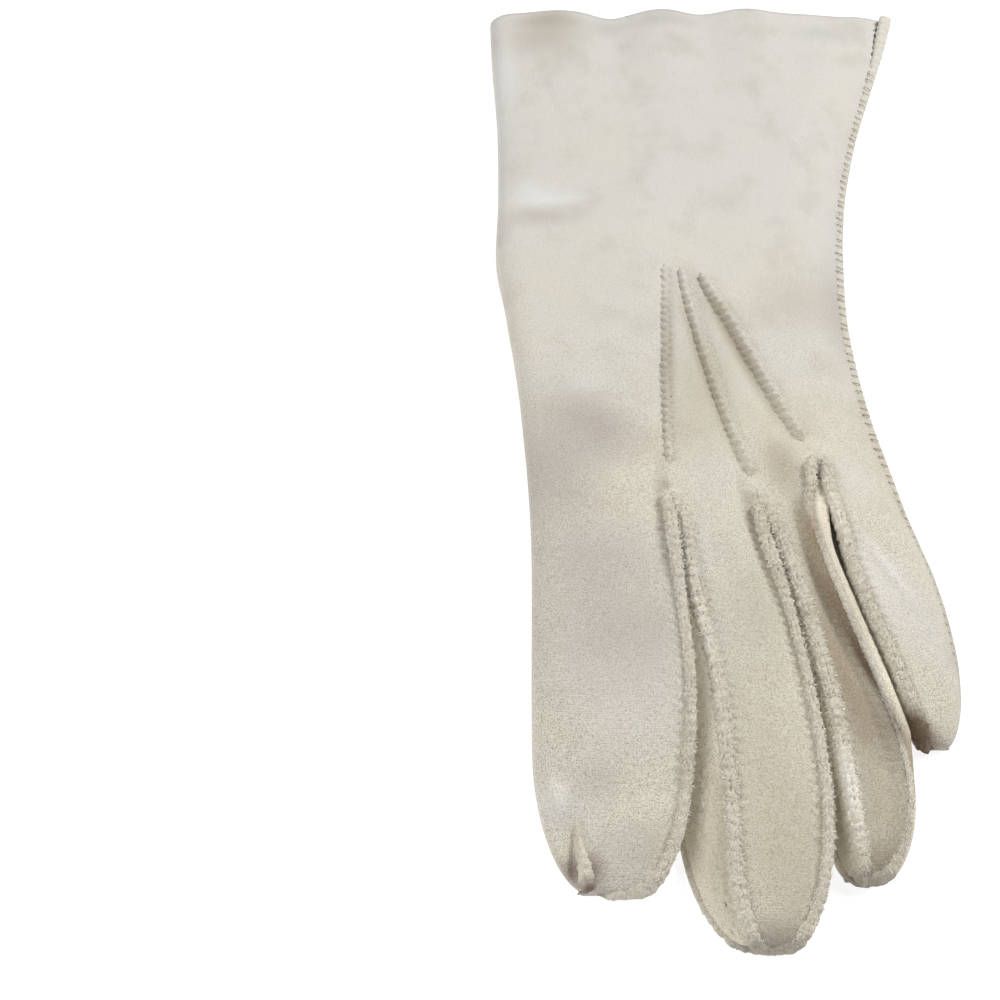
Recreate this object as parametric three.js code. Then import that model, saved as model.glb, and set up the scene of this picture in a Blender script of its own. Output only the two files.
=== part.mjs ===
// A woman's dress glove of cotton suede cloth for the left hand, lying flat with its back up.
// The body of the glove is one cut piece: back and palm, folded along the index finger and sewn
// along the outer side. Three fork-shaped side walls join back and palm between the fingers, and
// the thumb is a tube of its own, folded under the palm and open into it.
// Millimetres, +Z up, +Y from the fingertips to the cuff, +X from the fold to the outer seam.
import * as THREE from 'three';

// Cloth and seams
const CLOTH = 1.0;
const GAP = 0.3;
const SEAM_OFFSET = (CLOTH + GAP) / 2;
const RAW_EDGE = 1.8;
const PALM_EDGE = 1.2;
const OUTER_SEAM = 2.2;
const HAIRPIN = CLOTH + 0.25;

// Heights of the middle of the cloth above the surface
const PALM_LEVEL = CLOTH / 2;
const BACK_LEVEL = 7.4;
const FOLD_LEVEL = 3.7;
const FOLD_ROUND = 6;
const FOLD_FOOT = 0.8;
const SEAM_ROUND = { hand: 15, finger: 8, from: -20, to: -50 };
const SEAM_CURVE = 2.2;
const MIDDLE_OF_HAND = { left: -30, right: 10 };

// The three raised points on the back: row of their upper end, and the height and half width of each
const POINTS = { top: 25, height: 1.5, foot: 0.95, fade: 3 };

// Rim of the cuff and its waves: where each crest or dent lies, how high and how wide it is
const CUFF = { y: 115.5, length: 46, corner: 5.5, cornerLength: 34, sharedLift: 0.6 };
const CUFF_WAVES = [
  { x: -37, rise: 1.2, width: 9 },
  { x: -23, rise: -1.7, width: 6 },
  { x: -9, rise: 1.6, width: 7 },
  { x: 2, rise: -0.5, width: 5 },
  { x: 14, rise: 1.7, width: 8 },
  { x: 40, rise: -0.8, width: 7 },
];

// Thumb, folded under the palm, and how the palm and back ride over it
const THUMB = {
  base: 18, tip: -62, baseX: -33.4, tipX: -33.0, baseHalf: 14.4, tipHalf: 12.6, top: 6.1,
  baseRound: 12, tipRound: 19, narrowest: 0.3,
};
const THUMB_STEPS = 15;
const THUMB_SIDE = 0.97;
const THUMB_RING = [
  { across: -0.82, up: 0 },
  { across: -0.42, up: 0 },
  { across: 0, up: 0 },
  { across: 0.42, up: 0 },
  { across: 0.82, up: 0 },
  { across: THUMB_SIDE, up: 0.22 },
  { across: 1, up: 0.5 },
  { across: THUMB_SIDE, up: 0.78 },
  { across: 0.82, up: 1 },
  { across: 0.42, up: 1 },
  { across: 0, up: 1 },
  { across: -0.42, up: 1 },
  { across: -0.82, up: 1 },
  { across: -THUMB_SIDE, up: 0.78 },
  { across: -1, up: 0.5 },
  { across: -THUMB_SIDE, up: 0.22 },
];
const THUMB_HOLE = { top: 6, bottom: -16, left: -44.5, right: -22.5 };
const PALM_HUMP = {
  rise: 6.9, full: -21.2, right: -8.5, cuffFull: 15, cuffEnd: 44, tipFull: -62, tipEnd: -90,
};
const BACK_HUMP = {
  rise: 5.4, full: -21.2, right: -3.0, cuffFull: 27, cuffEnd: 58, tipFull: -72, tipEnd: -97,
};

// Outline and seam lines of the hand: a row for each section, x of each line
const HAND_LINES = [
  { y: 118, fold: -55.7, first: -21, second: -1, third: 19, seam: 54.6 },
  { y: 98, fold: -54.9, first: -20, second: -3, third: 14, seam: 48.5 },
  { y: 74, fold: -53.5, first: -18.5, second: -6.5, third: 7, seam: 39.6 },
  { y: 50, fold: -53.3, first: -17, second: -10.5, third: -1.5, seam: 32.9 },
  { y: 26, fold: -53.7, first: -15.8, second: -12.2, third: -7.4, seam: 29.3 },
  { y: 10, fold: -51.4, first: -16.8, second: -10.4, third: -1.4, seam: 28.3 },
  { y: -10, fold: -48.8, first: -18.2, second: -6.3, third: 6.2, seam: 29.4 },
  { y: -28, fold: -47.3, first: -18.9, second: -1.2, third: 14, seam: 32.1 },
];

// Seam ridges of the fingers: a row for each section, x of the ridge on each side of each finger
const FINGER_KEYS = ['y', 'fold', 'indexR', 'midL', 'midR', 'ringL', 'ringR', 'litL', 'seam'];
const FINGER_ROWS = [
  [-28, -47.3, -18.9, -18.9, -1.2, -1.2, 14, 14, 32.1],
  [-35, -46.9, -19.2, -19.2, 0.6, 0.6, 12.4, 16.2, 33.2],
  [-42, -46.6, -19, -16.1, 0.7, 3.5, 11.6, 17.2, 34.7],
  [-50, -46.5, -18.7, -14.9, 2.2, 5.5, 12.7, 18, 36.4],
  [-60, -46.6, -18.2, -13.7, 4, 7.3, 15.2, 20.1, 37.5],
  [-75, -46.8, -17.8, -12.2, 5.6, 9.4, 18.9, 24, 37.6],
  [-90, -46.8, -18.4, -11.5, 6.3, 10.4, 21.3, 26, 37.3],
  [-121, -46.8, -18.4, -12.4, 6.3, 10.4, 21.3, 26, 37.3],
];
const FINGER_LINES = FINGER_ROWS.map(
  (row) => Object.fromEntries(row.map((value, i) => [FINGER_KEYS[i], value])),
);

// Fingers: the seam line on each side, the tip and how blunt it is, the crown of the back, the rows
// where each edge of back and palm starts to round towards the tip, and how far the palm's edge
// leans away from the ridge above it at the root and at the tip
const FINGERS = [
  {
    name: 'index', left: 'fold', right: 'indexR', tipX: -33.2, tipY: -111.4, blunt: 0.25, crown: 0.5,
    roundL: -86, roundR: -82, palmRoundL: -86, palmRoundR: -82, leanL: [0, 0], leanR: [-2.8, -4.5],
  },
  {
    name: 'middle', left: 'midL', right: 'midR', tipX: -5.8, tipY: -120.4, blunt: 0.16, crown: 0.8,
    roundL: -106, roundR: -88, palmRoundL: -96, palmRoundR: -88, leanL: [-2.8, -7.6], leanR: [-2.5, -2.5],
  },
  {
    name: 'ring', left: 'ringL', right: 'ringR', tipX: 12.4, tipY: -109.2, blunt: 0.2, crown: -0.9,
    roundL: -96, roundR: -88, palmRoundL: -97, palmRoundR: -88, leanL: [-2.5, -2.5], leanR: [0.3, 0.3],
  },
  {
    name: 'little', left: 'litL', right: 'seam', tipX: 29.2, tipY: -85.2, blunt: 0.25, crown: 0.7,
    roundL: -74, roundR: -65, palmRoundL: -74, palmRoundR: -65, leanL: [1.2, 1.2], leanR: [0, 0],
  },
];
const FINGER_CROWN = { start: -22, full: -50, taper: 0.9, ringLift: 0.55 };
const LEAN_ROWS = { full: -42, root: -50, tip: -100 };

// Dart at the tip of the index finger: a valley beside the fold and a ridge next to it
const DART = { start: -94, full: -104, valleyX: -40.2, ridgeX: -36.6, width: 1.6, depth: 1.5, rise: 0.9 };

// Columns across each strip, as shares of its width between the seams
const INDEX_COLUMNS = [0.04, 0.14, 0.24, 0.36, 0.53, 0.7, 0.86];
const MIDDLE_COLUMNS = [0.25, 0.5, 0.75];
const LITTLE_COLUMNS = [0.25, 0.5, 0.76];

// Rows along the hand and along the fingers
const HAND_END = -28;
const HAND_ROWS = [115.5, 108, 98, 84, 70, 56, 42, 32, 26, 15, 4, -6, -16, -23, -28, -35];
const ROOT_ROWS = [-38.5, -42, -46, -50, -57];
const SHAFT_STEP = 9;
const TIP_LENGTH = 17;
const TIP_ROWS = 5;
const TIP_EDGE = 1.7;
const RIM_LENGTH = 12;
const RIM_LEAST = 0.4;
const TIP_OVERHANG = 0.15;
const BACK_CROTCH = { index: -35, middle: -35, ring: -28 };
const PALM_CROTCH = -50;

// Fourchettes: the row of each crotch bend, and how far the walls bulge out
const FOURCHETTES = [
  { name: 'fourchette_index_middle', from: 0, bend: -42, bulgeA: 0.2, bulgeB: 0.3 },
  { name: 'fourchette_middle_ring', from: 1, bend: -42, bulgeA: 0.2, bulgeB: 0.3 },
  { name: 'fourchette_ring_little', from: 2, bend: -38.5, bulgeA: 1.3, bulgeB: 0.1 },
];
const WALL_SHOULDER = 1.4;
const WALL_FOOT = 0.9;
const WALL_LEAST = 2.9;
const WALL_SHARE = 0.4;
const WALL_STEPS = [0.35, 0.7, 1];
const BEND_STEPS = 4;

// Bound on how far a corner of the cloth is mitred, and half the run over which a slope is measured
const MITRE = 0.72;
const SLOPE_STEP = 0.4;
const STEEPEST = 3;

const MATERIALS = {
  trank: new THREE.MeshStandardMaterial({ color: 0xd7d0be, roughness: 0.95, metalness: 0 }),
  fourchette: new THREE.MeshStandardMaterial({ color: 0xcdc6a5, roughness: 0.95, metalness: 0 }),
  thumb: new THREE.MeshStandardMaterial({ color: 0xd3cbb6, roughness: 0.95, metalness: 0 }),
};

const clamp = (value, low, high) => Math.min(Math.max(value, low), high);
const mix = (a, b, t) => a + (b - a) * t;

function smoothStep(from, to, value) {
  const t = clamp((value - from) / (to - from), 0, 1);
  return t * t * (3 - 2 * t);
}

function bell(distance, width) {
  return Math.exp(-((distance / width) ** 2));
}

// Value of a named column at y, on a smooth curve through a table whose rows fall in y
function valueAt(table, column, y) {
  const last = table.length - 1;
  let i = 0;
  while (i < last - 1 && table[i + 1].y > y) i += 1;
  const slope = (k) => {
    const before = table[Math.max(k - 1, 0)];
    const after = table[Math.min(k + 1, last)];
    return (after[column] - before[column]) / (after.y - before.y);
  };
  const a = table[i];
  const b = table[i + 1];
  const span = b.y - a.y;
  const t = clamp((y - a.y) / span, 0, 1);
  const t2 = t * t;
  const t3 = t2 * t;
  return (2 * t3 - 3 * t2 + 1) * a[column] + (t3 - 2 * t2 + t) * span * slope(i)
    + (-2 * t3 + 3 * t2) * b[column] + (t3 - t2) * span * slope(i + 1);
}

// Share of a finger's width that is left at y, from 1 where the rounding starts to blunt at the tip
function tipShare(finger, start, y) {
  const s = clamp((start - y) / (start - finger.tipY), 0, 1);
  return finger.blunt + (1 - finger.blunt) * Math.sqrt(1 - s * s);
}

const HAND_NAMES = {
  fold: 'fold', indexR: 'first', midL: 'first', midR: 'second', ringL: 'second',
  ringR: 'third', litL: 'third', seam: 'seam',
};

// x of a seam line without the rounding of the tip
function straightLine(name, y) {
  return y > HAND_END ? valueAt(HAND_LINES, HAND_NAMES[name], y) : valueAt(FINGER_LINES, name, y);
}

// x of one edge of a finger's back or palm
function edgeX(finger, side, layer, y) {
  const suffix = side < 0 ? 'L' : 'R';
  const name = side < 0 ? finger.left : finger.right;
  let x = straightLine(name, y);
  let start = finger['round' + suffix];
  if (layer === 'palm') {
    const [root, tip] = finger['lean' + suffix];
    const along = clamp((LEAN_ROWS.root - y) / (LEAN_ROWS.root - LEAN_ROWS.tip), 0, 1);
    x += mix(root, tip, along) * smoothStep(HAND_END, LEAN_ROWS.full, y);
    start = finger['palmRound' + suffix];
  }
  return finger.tipX + (x - finger.tipX) * tipShare(finger, start, y);
}

// How far the thumb below it lifts the cloth
function lifted(hump, x, y) {
  const across = 1 - smoothStep(hump.full, hump.right, x);
  const fromCuff = smoothStep(hump.cuffEnd, hump.cuffFull, y);
  const fromTip = smoothStep(hump.tipEnd, hump.tipFull, y);
  return hump.rise * across * fromCuff * fromTip;
}

function palmHeight(x, y) {
  return PALM_LEVEL + lifted(PALM_HUMP, x, y);
}

// Height of the fold edge, half way between palm and back
function foldHeight(x, y) {
  return FOLD_LEVEL + (lifted(PALM_HUMP, x, y) + lifted(BACK_HUMP, x, y)) / 2;
}

function cuffWave(x, y) {
  const fade = smoothStep(CUFF.y - CUFF.length, CUFF.y, y);
  let height = 0;
  for (const wave of CUFF_WAVES) {
    height += wave.rise * bell(x - wave.x, wave.width);
  }
  return height * fade;
}

// How far the outer seam is turned up near the cuff's corner
function cornerLift(y) {
  return CUFF.corner * smoothStep(CUFF.y - CUFF.cornerLength, CUFF.y, y);
}

// Height of the back away from seams, points and fingertips
function backHeight(x, y) {
  const fromFold = clamp((x - straightLine('fold', y)) / FOLD_ROUND, 0, 1);
  const round = mix(SEAM_ROUND.hand, SEAM_ROUND.finger, smoothStep(SEAM_ROUND.from, SEAM_ROUND.to, y));
  const fromSeam = clamp((straightLine('seam', y) - OUTER_SEAM - x) / round, 0, 1);
  const lift = lifted(BACK_HUMP, x, y);
  const level = BACK_LEVEL + cuffWave(x, y);
  const seamLevel = PALM_LEVEL + HAIRPIN + CUFF.sharedLift * cornerLift(y);
  const foldShare = Math.sqrt(1 - (1 - fromFold) ** 2);
  const seamShare = 1 - (1 - fromSeam) ** SEAM_CURVE;
  const low = mix(FOLD_LEVEL, seamLevel, smoothStep(MIDDLE_OF_HAND.left, MIDDLE_OF_HAND.right, x));
  return low + (level - low) * foldShare * seamShare + lift;
}

function dartHeight(x, y) {
  const along = smoothStep(DART.start, DART.full, y);
  const ridge = DART.rise * bell(x - DART.ridgeX, DART.width);
  const valley = DART.depth * bell(x - DART.valleyX, DART.width);
  return along * (ridge - valley);
}

// How much of its height a finger keeps at y, from 1 in the shaft to 0 at the tip
function heightShare(finger, y) {
  return tipShare({ tipY: finger.tipY, blunt: 0 }, finger.tipY + TIP_LENGTH, y);
}

// Height of a finger's back at a share of its width
function fingerHeight(finger, x, share, y) {
  const inFinger = smoothStep(FINGER_CROWN.start, FINGER_CROWN.full, y);
  const crown = finger.crown * 4 * share * (1 - share) * inFinger;
  const ringLift = finger.name === 'ring' ? smoothStep(FINGER_CROWN.ringLift, 1, share) * inFinger : 0;
  const height = backHeight(x, y) + crown + ringLift;
  const down = heightShare(finger, y);
  const rounded = mix(PALM_LEVEL + HAIRPIN, height, down ** FINGER_CROWN.taper);
  return finger.name === 'index' ? rounded + dartHeight(x, y) * down : rounded;
}

// How far the raw edges stand up at y
function rimHeight(finger, y) {
  return RAW_EDGE * mix(RIM_LEAST, 1, smoothStep(finger.tipY, finger.tipY + RIM_LENGTH, y));
}

// Height of the fold edge along the index finger
function indexFoldHeight(finger, x, y) {
  return mix(PALM_LEVEL + HAIRPIN / 2, foldHeight(x, y), heightShare(finger, y));
}

// Height of a point's crest, or of a raw seam edge, above the back
function crestHeight(y) {
  const inPoint = smoothStep(POINTS.top + POINTS.fade, POINTS.top - POINTS.fade, y);
  return POINTS.height * inPoint;
}

// Rows of a finger from its crotch to its tip
function fingerRows(finger) {
  const rows = [...ROOT_ROWS];
  const start = finger.tipY + TIP_LENGTH;
  const from = rows[rows.length - 1];
  const steps = Math.max(Math.round((from - start) / SHAFT_STEP), 1);
  for (let i = 1; i <= steps; i += 1) rows.push(mix(from, start, i / steps));
  const end = finger.tipY + TIP_EDGE;
  for (let i = 1; i <= TIP_ROWS; i += 1) {
    rows.push(mix(start, end, Math.sin((Math.PI / 2) * (i / TIP_ROWS))));
  }
  return rows;
}

// Outward direction of an edge in plan, square to the line
function edgeNormal(finger, side, layer, y) {
  const above = edgeX(finger, side, layer, y + SLOPE_STEP);
  const below = edgeX(finger, side, layer, y - SLOPE_STEP);
  const slope = clamp((above - below) / (2 * SLOPE_STEP), -STEEPEST, STEEPEST);
  const length = Math.hypot(1, slope);
  return new THREE.Vector2(side / length, (-side * slope) / length);
}

// Cross row of a finger's back in the hand, above its crotches
function handBackRow(finger, columns, y) {
  const left = straightLine(finger.left, y);
  const right = straightLine(finger.right, y);
  const row = [];
  const isIndex = finger.left === 'fold';
  const isLittle = finger.right === 'seam';
  const crest = crestHeight(y);
  const lift = cornerLift(y);
  const start = isIndex ? left : left + POINTS.foot;
  const end = isLittle ? right - OUTER_SEAM : right - POINTS.foot;
  if (isIndex) {
    row.push(new THREE.Vector3(left, y, foldHeight(left, y)));
  } else {
    row.push(new THREE.Vector3(left, y, backHeight(left, y) + crest));
    row.push(new THREE.Vector3(start, y, backHeight(start, y)));
  }
  for (const share of columns) {
    const x = mix(start, end, share);
    row.push(new THREE.Vector3(x, y, fingerHeight(finger, x, share, y)));
  }
  row.push(new THREE.Vector3(end, y, backHeight(end, y)));
  if (isLittle) {
    row.push(new THREE.Vector3(right, y, PALM_LEVEL + HAIRPIN / 2 + lift));
  } else {
    row.push(new THREE.Vector3(right, y, backHeight(right, y) + crest));
  }
  return row;
}

// Cross row of a finger's back below its crotches, with both raw edges turned up
function fingerBackRow(finger, columns, y) {
  const row = [];
  const isIndex = finger.left === 'fold';
  const isLittle = finger.right === 'seam';
  const left = edgeX(finger, -1, 'back', y);
  const right = edgeX(finger, 1, 'back', y);
  const start = isIndex ? left : left + SEAM_OFFSET;
  const end = isLittle ? right - OUTER_SEAM : right - SEAM_OFFSET;
  const rise = rimHeight(finger, y);
  const rim = (side, x, share) => {
    const normal = edgeNormal(finger, side, 'back', y);
    const foot = new THREE.Vector3(x - normal.x * SEAM_OFFSET, y - normal.y * SEAM_OFFSET, 0);
    foot.z = fingerHeight(finger, x, share, y);
    const lip = foot.clone();
    lip.z += rise;
    return { foot, lip };
  };
  if (isIndex) {
    row.push(new THREE.Vector3(left, y, indexFoldHeight(finger, left, y)));
  } else {
    const { foot, lip } = rim(-1, left, 0);
    row.push(lip, foot);
  }
  for (const share of columns) {
    const x = mix(start, end, share);
    row.push(new THREE.Vector3(x, y, fingerHeight(finger, x, share, y)));
  }
  if (isLittle) {
    row.push(new THREE.Vector3(end, y, fingerHeight(finger, end, 1, y)));
    row.push(new THREE.Vector3(right, y, PALM_LEVEL + HAIRPIN / 2));
  } else {
    const { foot, lip } = rim(1, right, 1);
    row.push(foot, lip);
  }
  return row;
}

// Cross row of a strip's palm; welded edges meet the next strip half way
function palmRow(index, columns, y) {
  const finger = FINGERS[index];
  const isIndex = finger.left === 'fold';
  const isLittle = finger.right === 'seam';
  const welded = y >= PALM_CROTCH;
  const inHand = y > HAND_END;
  const left = inHand && !isIndex
    ? straightLine(finger.left, y) + POINTS.foot : edgeX(finger, -1, 'palm', y);
  const right = inHand && !isLittle
    ? straightLine(finger.right, y) - POINTS.foot : edgeX(finger, 1, 'palm', y);
  const end = isLittle ? right - OUTER_SEAM : right;
  const row = [];
  const joint = (side, x) => {
    if (!welded) {
      return x + side * PALM_EDGE;
    }
    if (inHand) {
      return straightLine(side < 0 ? finger.left : finger.right, y);
    }
    const other = FINGERS[index + side];
    return (x + edgeX(other, -side, 'palm', y)) / 2;
  };
  const point = (x) => new THREE.Vector3(x, y, palmHeight(x, y));
  if (isIndex) {
    row.push(new THREE.Vector3(left, y, indexFoldHeight(finger, left, y)));
  } else {
    row.push(point(joint(-1, left)), point(left));
  }
  columns.forEach((share, i) => {
    const p = point(mix(left, end, share));
    if (isIndex && i === 0) p.z += FOLD_FOOT;
    row.push(p);
  });
  const lift = inHand ? cornerLift(y) : 0;
  if (isLittle) {
    const p = point(end);
    p.z += CUFF.sharedLift * lift;
    row.push(p, new THREE.Vector3(right, y, PALM_LEVEL + HAIRPIN / 2 + lift));
  } else {
    row.push(point(right), point(joint(1, right)));
  }
  return row;
}

// The raw edges at a fingertip, where back and palm end together
function tipRow(finger, columns) {
  const y = finger.tipY;
  const left = edgeX(finger, -1, 'palm', y);
  const right = edgeX(finger, 1, 'palm', y);
  const shares = finger.left === 'fold' ? [0] : [-TIP_OVERHANG, 0];
  shares.push(...columns, 1, 1 + TIP_OVERHANG);
  const z = PALM_LEVEL + HAIRPIN / 2;
  return shares.map((share) => new THREE.Vector3(mix(left, right, share), y, z));
}

// Collects the middle surface of a piece of cloth as triangles with shared vertices
class Cloth {
  constructor() {
    this.points = [];
    this.triangles = [];
    this.known = new Map();
  }

  vertex(point) {
    const key = [point.x, point.y, point.z].map((v) => Math.round(v * 1000)).join(',');
    if (!this.known.has(key)) {
      this.known.set(key, this.points.length);
      this.points.push(point.clone());
    }
    return this.known.get(key);
  }

  // Adds a grid of rows; flip turns its faces over, and skip leaves cells out
  grid(rows, flip = false, skip = () => false) {
    for (let i = 0; i + 1 < rows.length; i += 1) {
      for (let j = 0; j + 1 < rows[i].length; j += 1) {
        const corners = [rows[i][j], rows[i + 1][j], rows[i + 1][j + 1], rows[i][j + 1]];
        if (!skip(corners)) {
          const [a, b, c, d] = corners.map((point) => this.vertex(point));
          this.face(a, b, c, flip);
          this.face(a, c, d, flip);
        }
      }
    }
  }

  face(a, b, c, flip) {
    if (a !== b && b !== c && c !== a) {
      this.triangles.push(flip ? [a, c, b] : [a, b, c]);
    }
  }

  // Gives the cloth its thickness, half to each side, closes its cut edges and lets nothing sink
  // below the surface that the glove lies on
  solid(thickness) {
    const count = this.points.length;
    const normals = this.points.map(() => new THREE.Vector3());
    const faceNormals = this.triangles.map(([a, b, c]) => {
      const ab = this.points[b].clone().sub(this.points[a]);
      const ac = this.points[c].clone().sub(this.points[a]);
      return ab.cross(ac).normalize();
    });
    const angle = (at, one, two) => {
      const u = this.points[one].clone().sub(this.points[at]);
      const v = this.points[two].clone().sub(this.points[at]);
      return u.angleTo(v);
    };
    this.triangles.forEach(([a, b, c], i) => {
      normals[a].addScaledVector(faceNormals[i], angle(a, b, c));
      normals[b].addScaledVector(faceNormals[i], angle(b, c, a));
      normals[c].addScaledVector(faceNormals[i], angle(c, a, b));
    });
    normals.forEach((normal) => normal.normalize());
    const least = this.points.map(() => 1);
    this.triangles.forEach((triangle, i) => {
      for (const v of triangle) {
        least[v] = Math.min(least[v], normals[v].dot(faceNormals[i]));
      }
    });
    const positions = [];
    for (const side of [1, -1]) {
      this.points.forEach((point, i) => {
        const reach = (side * thickness) / 2 / Math.max(least[i], MITRE);
        const moved = point.clone().addScaledVector(normals[i], reach);
        positions.push(moved.x, moved.y, Math.max(moved.z, 0));
      });
    }
    const indices = [];
    const edges = new Map();
    for (const [a, b, c] of this.triangles) {
      indices.push(a, b, c, a + count, c + count, b + count);
      for (const [from, to] of [[a, b], [b, c], [c, a]]) {
        edges.set(from + ',' + to, [from, to]);
      }
    }
    for (const [from, to] of edges.values()) {
      if (!edges.has(to + ',' + from)) {
        indices.push(to, from, from + count, to, from + count, to + count);
      }
    }
    const geometry = new THREE.BufferGeometry();
    geometry.setAttribute('position', new THREE.Float32BufferAttribute(positions, 3));
    geometry.setIndex(indices);
    geometry.computeVertexNormals();
    return geometry;
  }
}

function centreOf(corners) {
  return corners.reduce((sum, point) => sum.add(point), new THREE.Vector3()).divideScalar(corners.length);
}

// Back and palm in one piece, with the hole that the thumb opens into
function trankGeometry() {
  const cloth = new Cloth();
  const columnSets = [INDEX_COLUMNS, MIDDLE_COLUMNS, MIDDLE_COLUMNS, LITTLE_COLUMNS];
  const inThumbHole = (corners) => {
    const middle = centreOf(corners);
    return middle.x > THUMB_HOLE.left && middle.x < THUMB_HOLE.right
      && middle.y > THUMB_HOLE.bottom && middle.y < THUMB_HOLE.top;
  };
  FINGERS.forEach((finger, i) => {
    const columns = columnSets[i];
    const rows = [...HAND_ROWS, ...fingerRows(finger)];
    const back = [];
    const palm = [];
    for (const y of rows) {
      const row = y > HAND_END ? handBackRow(finger, columns, y) : fingerBackRow(finger, columns, y);
      // Below the hand an edge stays joined to its neighbour down to its own crotch
      if (i > 0 && y <= HAND_END && y >= BACK_CROTCH[FINGERS[i - 1].name]) {
        const x = straightLine(finger.left, y);
        row[0].set(x, y, backHeight(x, y) + POINTS.height);
        row[1].set(x + POINTS.foot, y, backHeight(x + POINTS.foot, y));
      }
      if (i < FINGERS.length - 1 && y <= HAND_END && y >= BACK_CROTCH[finger.name]) {
        const x = straightLine(finger.right, y);
        row[row.length - 1].set(x, y, backHeight(x, y) + POINTS.height);
        row[row.length - 2].set(x - POINTS.foot, y, backHeight(x - POINTS.foot, y));
      }
      back.push(row);
      palm.push(palmRow(i, columns, y));
    }
    const tip = tipRow(finger, columns);
    back.push(tip);
    palm.push(tip);
    cloth.grid(back, false);
    cloth.grid(palm, true, inThumbHole);
  });
  return cloth.solid(CLOTH);
}

// Lowest height at which a wall's foot stands clear of the palm below it, also on a slope
function footHeight(x, y) {
  const fall = palmHeight(x + SLOPE_STEP, y) - palmHeight(x - SLOPE_STEP, y);
  const slope = Math.abs(fall) / (2 * SLOPE_STEP);
  return palmHeight(x, y) + (CLOTH / 2) * (Math.hypot(1, slope) + slope) + GAP;
}

// One station of a fourchette: raw edge, seam, shoulder, wall and foot on the palm's edge
function wallStation(ridge, foot, normal, top, bulge, rise) {
  const bottom = footHeight(foot.x, foot.y);
  const x = ridge.x + normal.x * SEAM_OFFSET;
  const y = ridge.y + normal.y * SEAM_OFFSET;
  const shoulder = Math.min(WALL_SHOULDER, (top - bottom) * WALL_SHARE);
  const station = [
    new THREE.Vector3(x, y, top + rise),
    new THREE.Vector3(x, y, top),
    new THREE.Vector3(x, y, top - shoulder),
  ];
  const ankle = bottom + Math.min(WALL_FOOT, (top - shoulder - bottom) * WALL_SHARE);
  for (const t of WALL_STEPS) {
    const out = bulge * 4 * t * (1 - t);
    station.push(new THREE.Vector3(
      mix(x, foot.x, t) + normal.x * out,
      mix(y, foot.y, t) + normal.y * out,
      mix(top - shoulder, ankle, t),
    ));
  }
  station.push(new THREE.Vector3(foot.x, foot.y, bottom));
  return station;
}

// Stations along one side of a finger, from the bend at the crotch towards the tip
function wallLeg(finger, side, bend, bulge) {
  const stations = [];
  const rows = fingerRows(finger).filter((y) => y < bend);
  const share = side < 0 ? 0 : 1;
  for (const y of [bend, ...rows]) {
    const ridgeX = edgeX(finger, side, 'back', y);
    const footX = edgeX(finger, side, 'palm', y);
    const top = fingerHeight(finger, ridgeX, share, y);
    const rise = rimHeight(finger, y);
    if (top - palmHeight(footX, y) > WALL_LEAST) {
      const normal = edgeNormal(finger, side, 'back', y);
      const ridge = new THREE.Vector2(ridgeX, y);
      stations.push(wallStation(ridge, new THREE.Vector2(footX, y), normal, top, bulge, rise));
    }
  }
  return stations;
}

// A fork-shaped side wall: down one finger, round the crotch and down the next
function fourchetteGeometry(fourchette) {
  const left = FINGERS[fourchette.from];
  const right = FINGERS[fourchette.from + 1];
  const y = fourchette.bend;
  const legA = wallLeg(left, 1, y, fourchette.bulgeA);
  const legB = wallLeg(right, -1, y, fourchette.bulgeB);
  const ridgeA = edgeX(left, 1, 'back', y);
  const ridgeB = edgeX(right, -1, 'back', y);
  const footA = edgeX(left, 1, 'palm', y);
  const footB = edgeX(right, -1, 'palm', y);
  const topA = fingerHeight(left, ridgeA, 1, y);
  const topB = fingerHeight(right, ridgeB, 0, y);
  const bend = [];
  for (let i = 1; i < BEND_STEPS; i += 1) {
    const turn = (Math.PI * i) / BEND_STEPS;
    const radius = (ridgeB - ridgeA) / 2;
    const along = (1 - Math.cos(turn)) / 2;
    const depth = Math.sin(turn) * radius;
    const ridge = new THREE.Vector2(mix(ridgeA, ridgeB, along), y + depth);
    const foot = new THREE.Vector2(mix(footA, footB, along), y + depth * 0.5);
    const normal = new THREE.Vector2(Math.cos(turn), -Math.sin(turn));
    bend.push(wallStation(ridge, foot, normal, mix(topA, topB, along), 0, RAW_EDGE));
  }
  const cloth = new Cloth();
  cloth.grid([...legA.reverse(), ...bend, ...legB]);
  return cloth.solid(CLOTH);
}

// One cross ring of the thumb; the first and the last are pressed flat
function thumbRing(i) {
  const t = (1 - Math.cos((Math.PI * i) / THUMB_STEPS)) / 2;
  const y = mix(THUMB.base, THUMB.tip, t);
  const fromBase = clamp((THUMB.base - y) / THUMB.baseRound, 0, 1);
  const fromTip = clamp((y - THUMB.tip) / THUMB.tipRound, 0, 1);
  const round = Math.sqrt(1 - (1 - fromBase) ** 2) * Math.sqrt(1 - (1 - fromTip) ** 2);
  const half = mix(THUMB.baseHalf, THUMB.tipHalf, t) * mix(THUMB.narrowest, 1, round);
  const centre = mix(THUMB.baseX, THUMB.tipX, t);
  const top = mix(PALM_LEVEL + HAIRPIN, THUMB.top, Math.sqrt(round));
  const flat = i === 0 || i === THUMB_STEPS;
  const ring = THUMB_RING.map(({ across, up }) => {
    const share = flat && Math.abs(across) >= THUMB_SIDE ? Math.sign(across) : across;
    const z = flat ? PALM_LEVEL + HAIRPIN / 2 : mix(PALM_LEVEL, top, up);
    return new THREE.Vector3(centre + share * half, y, z);
  });
  return [...ring, ring[0].clone()];
}

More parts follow.
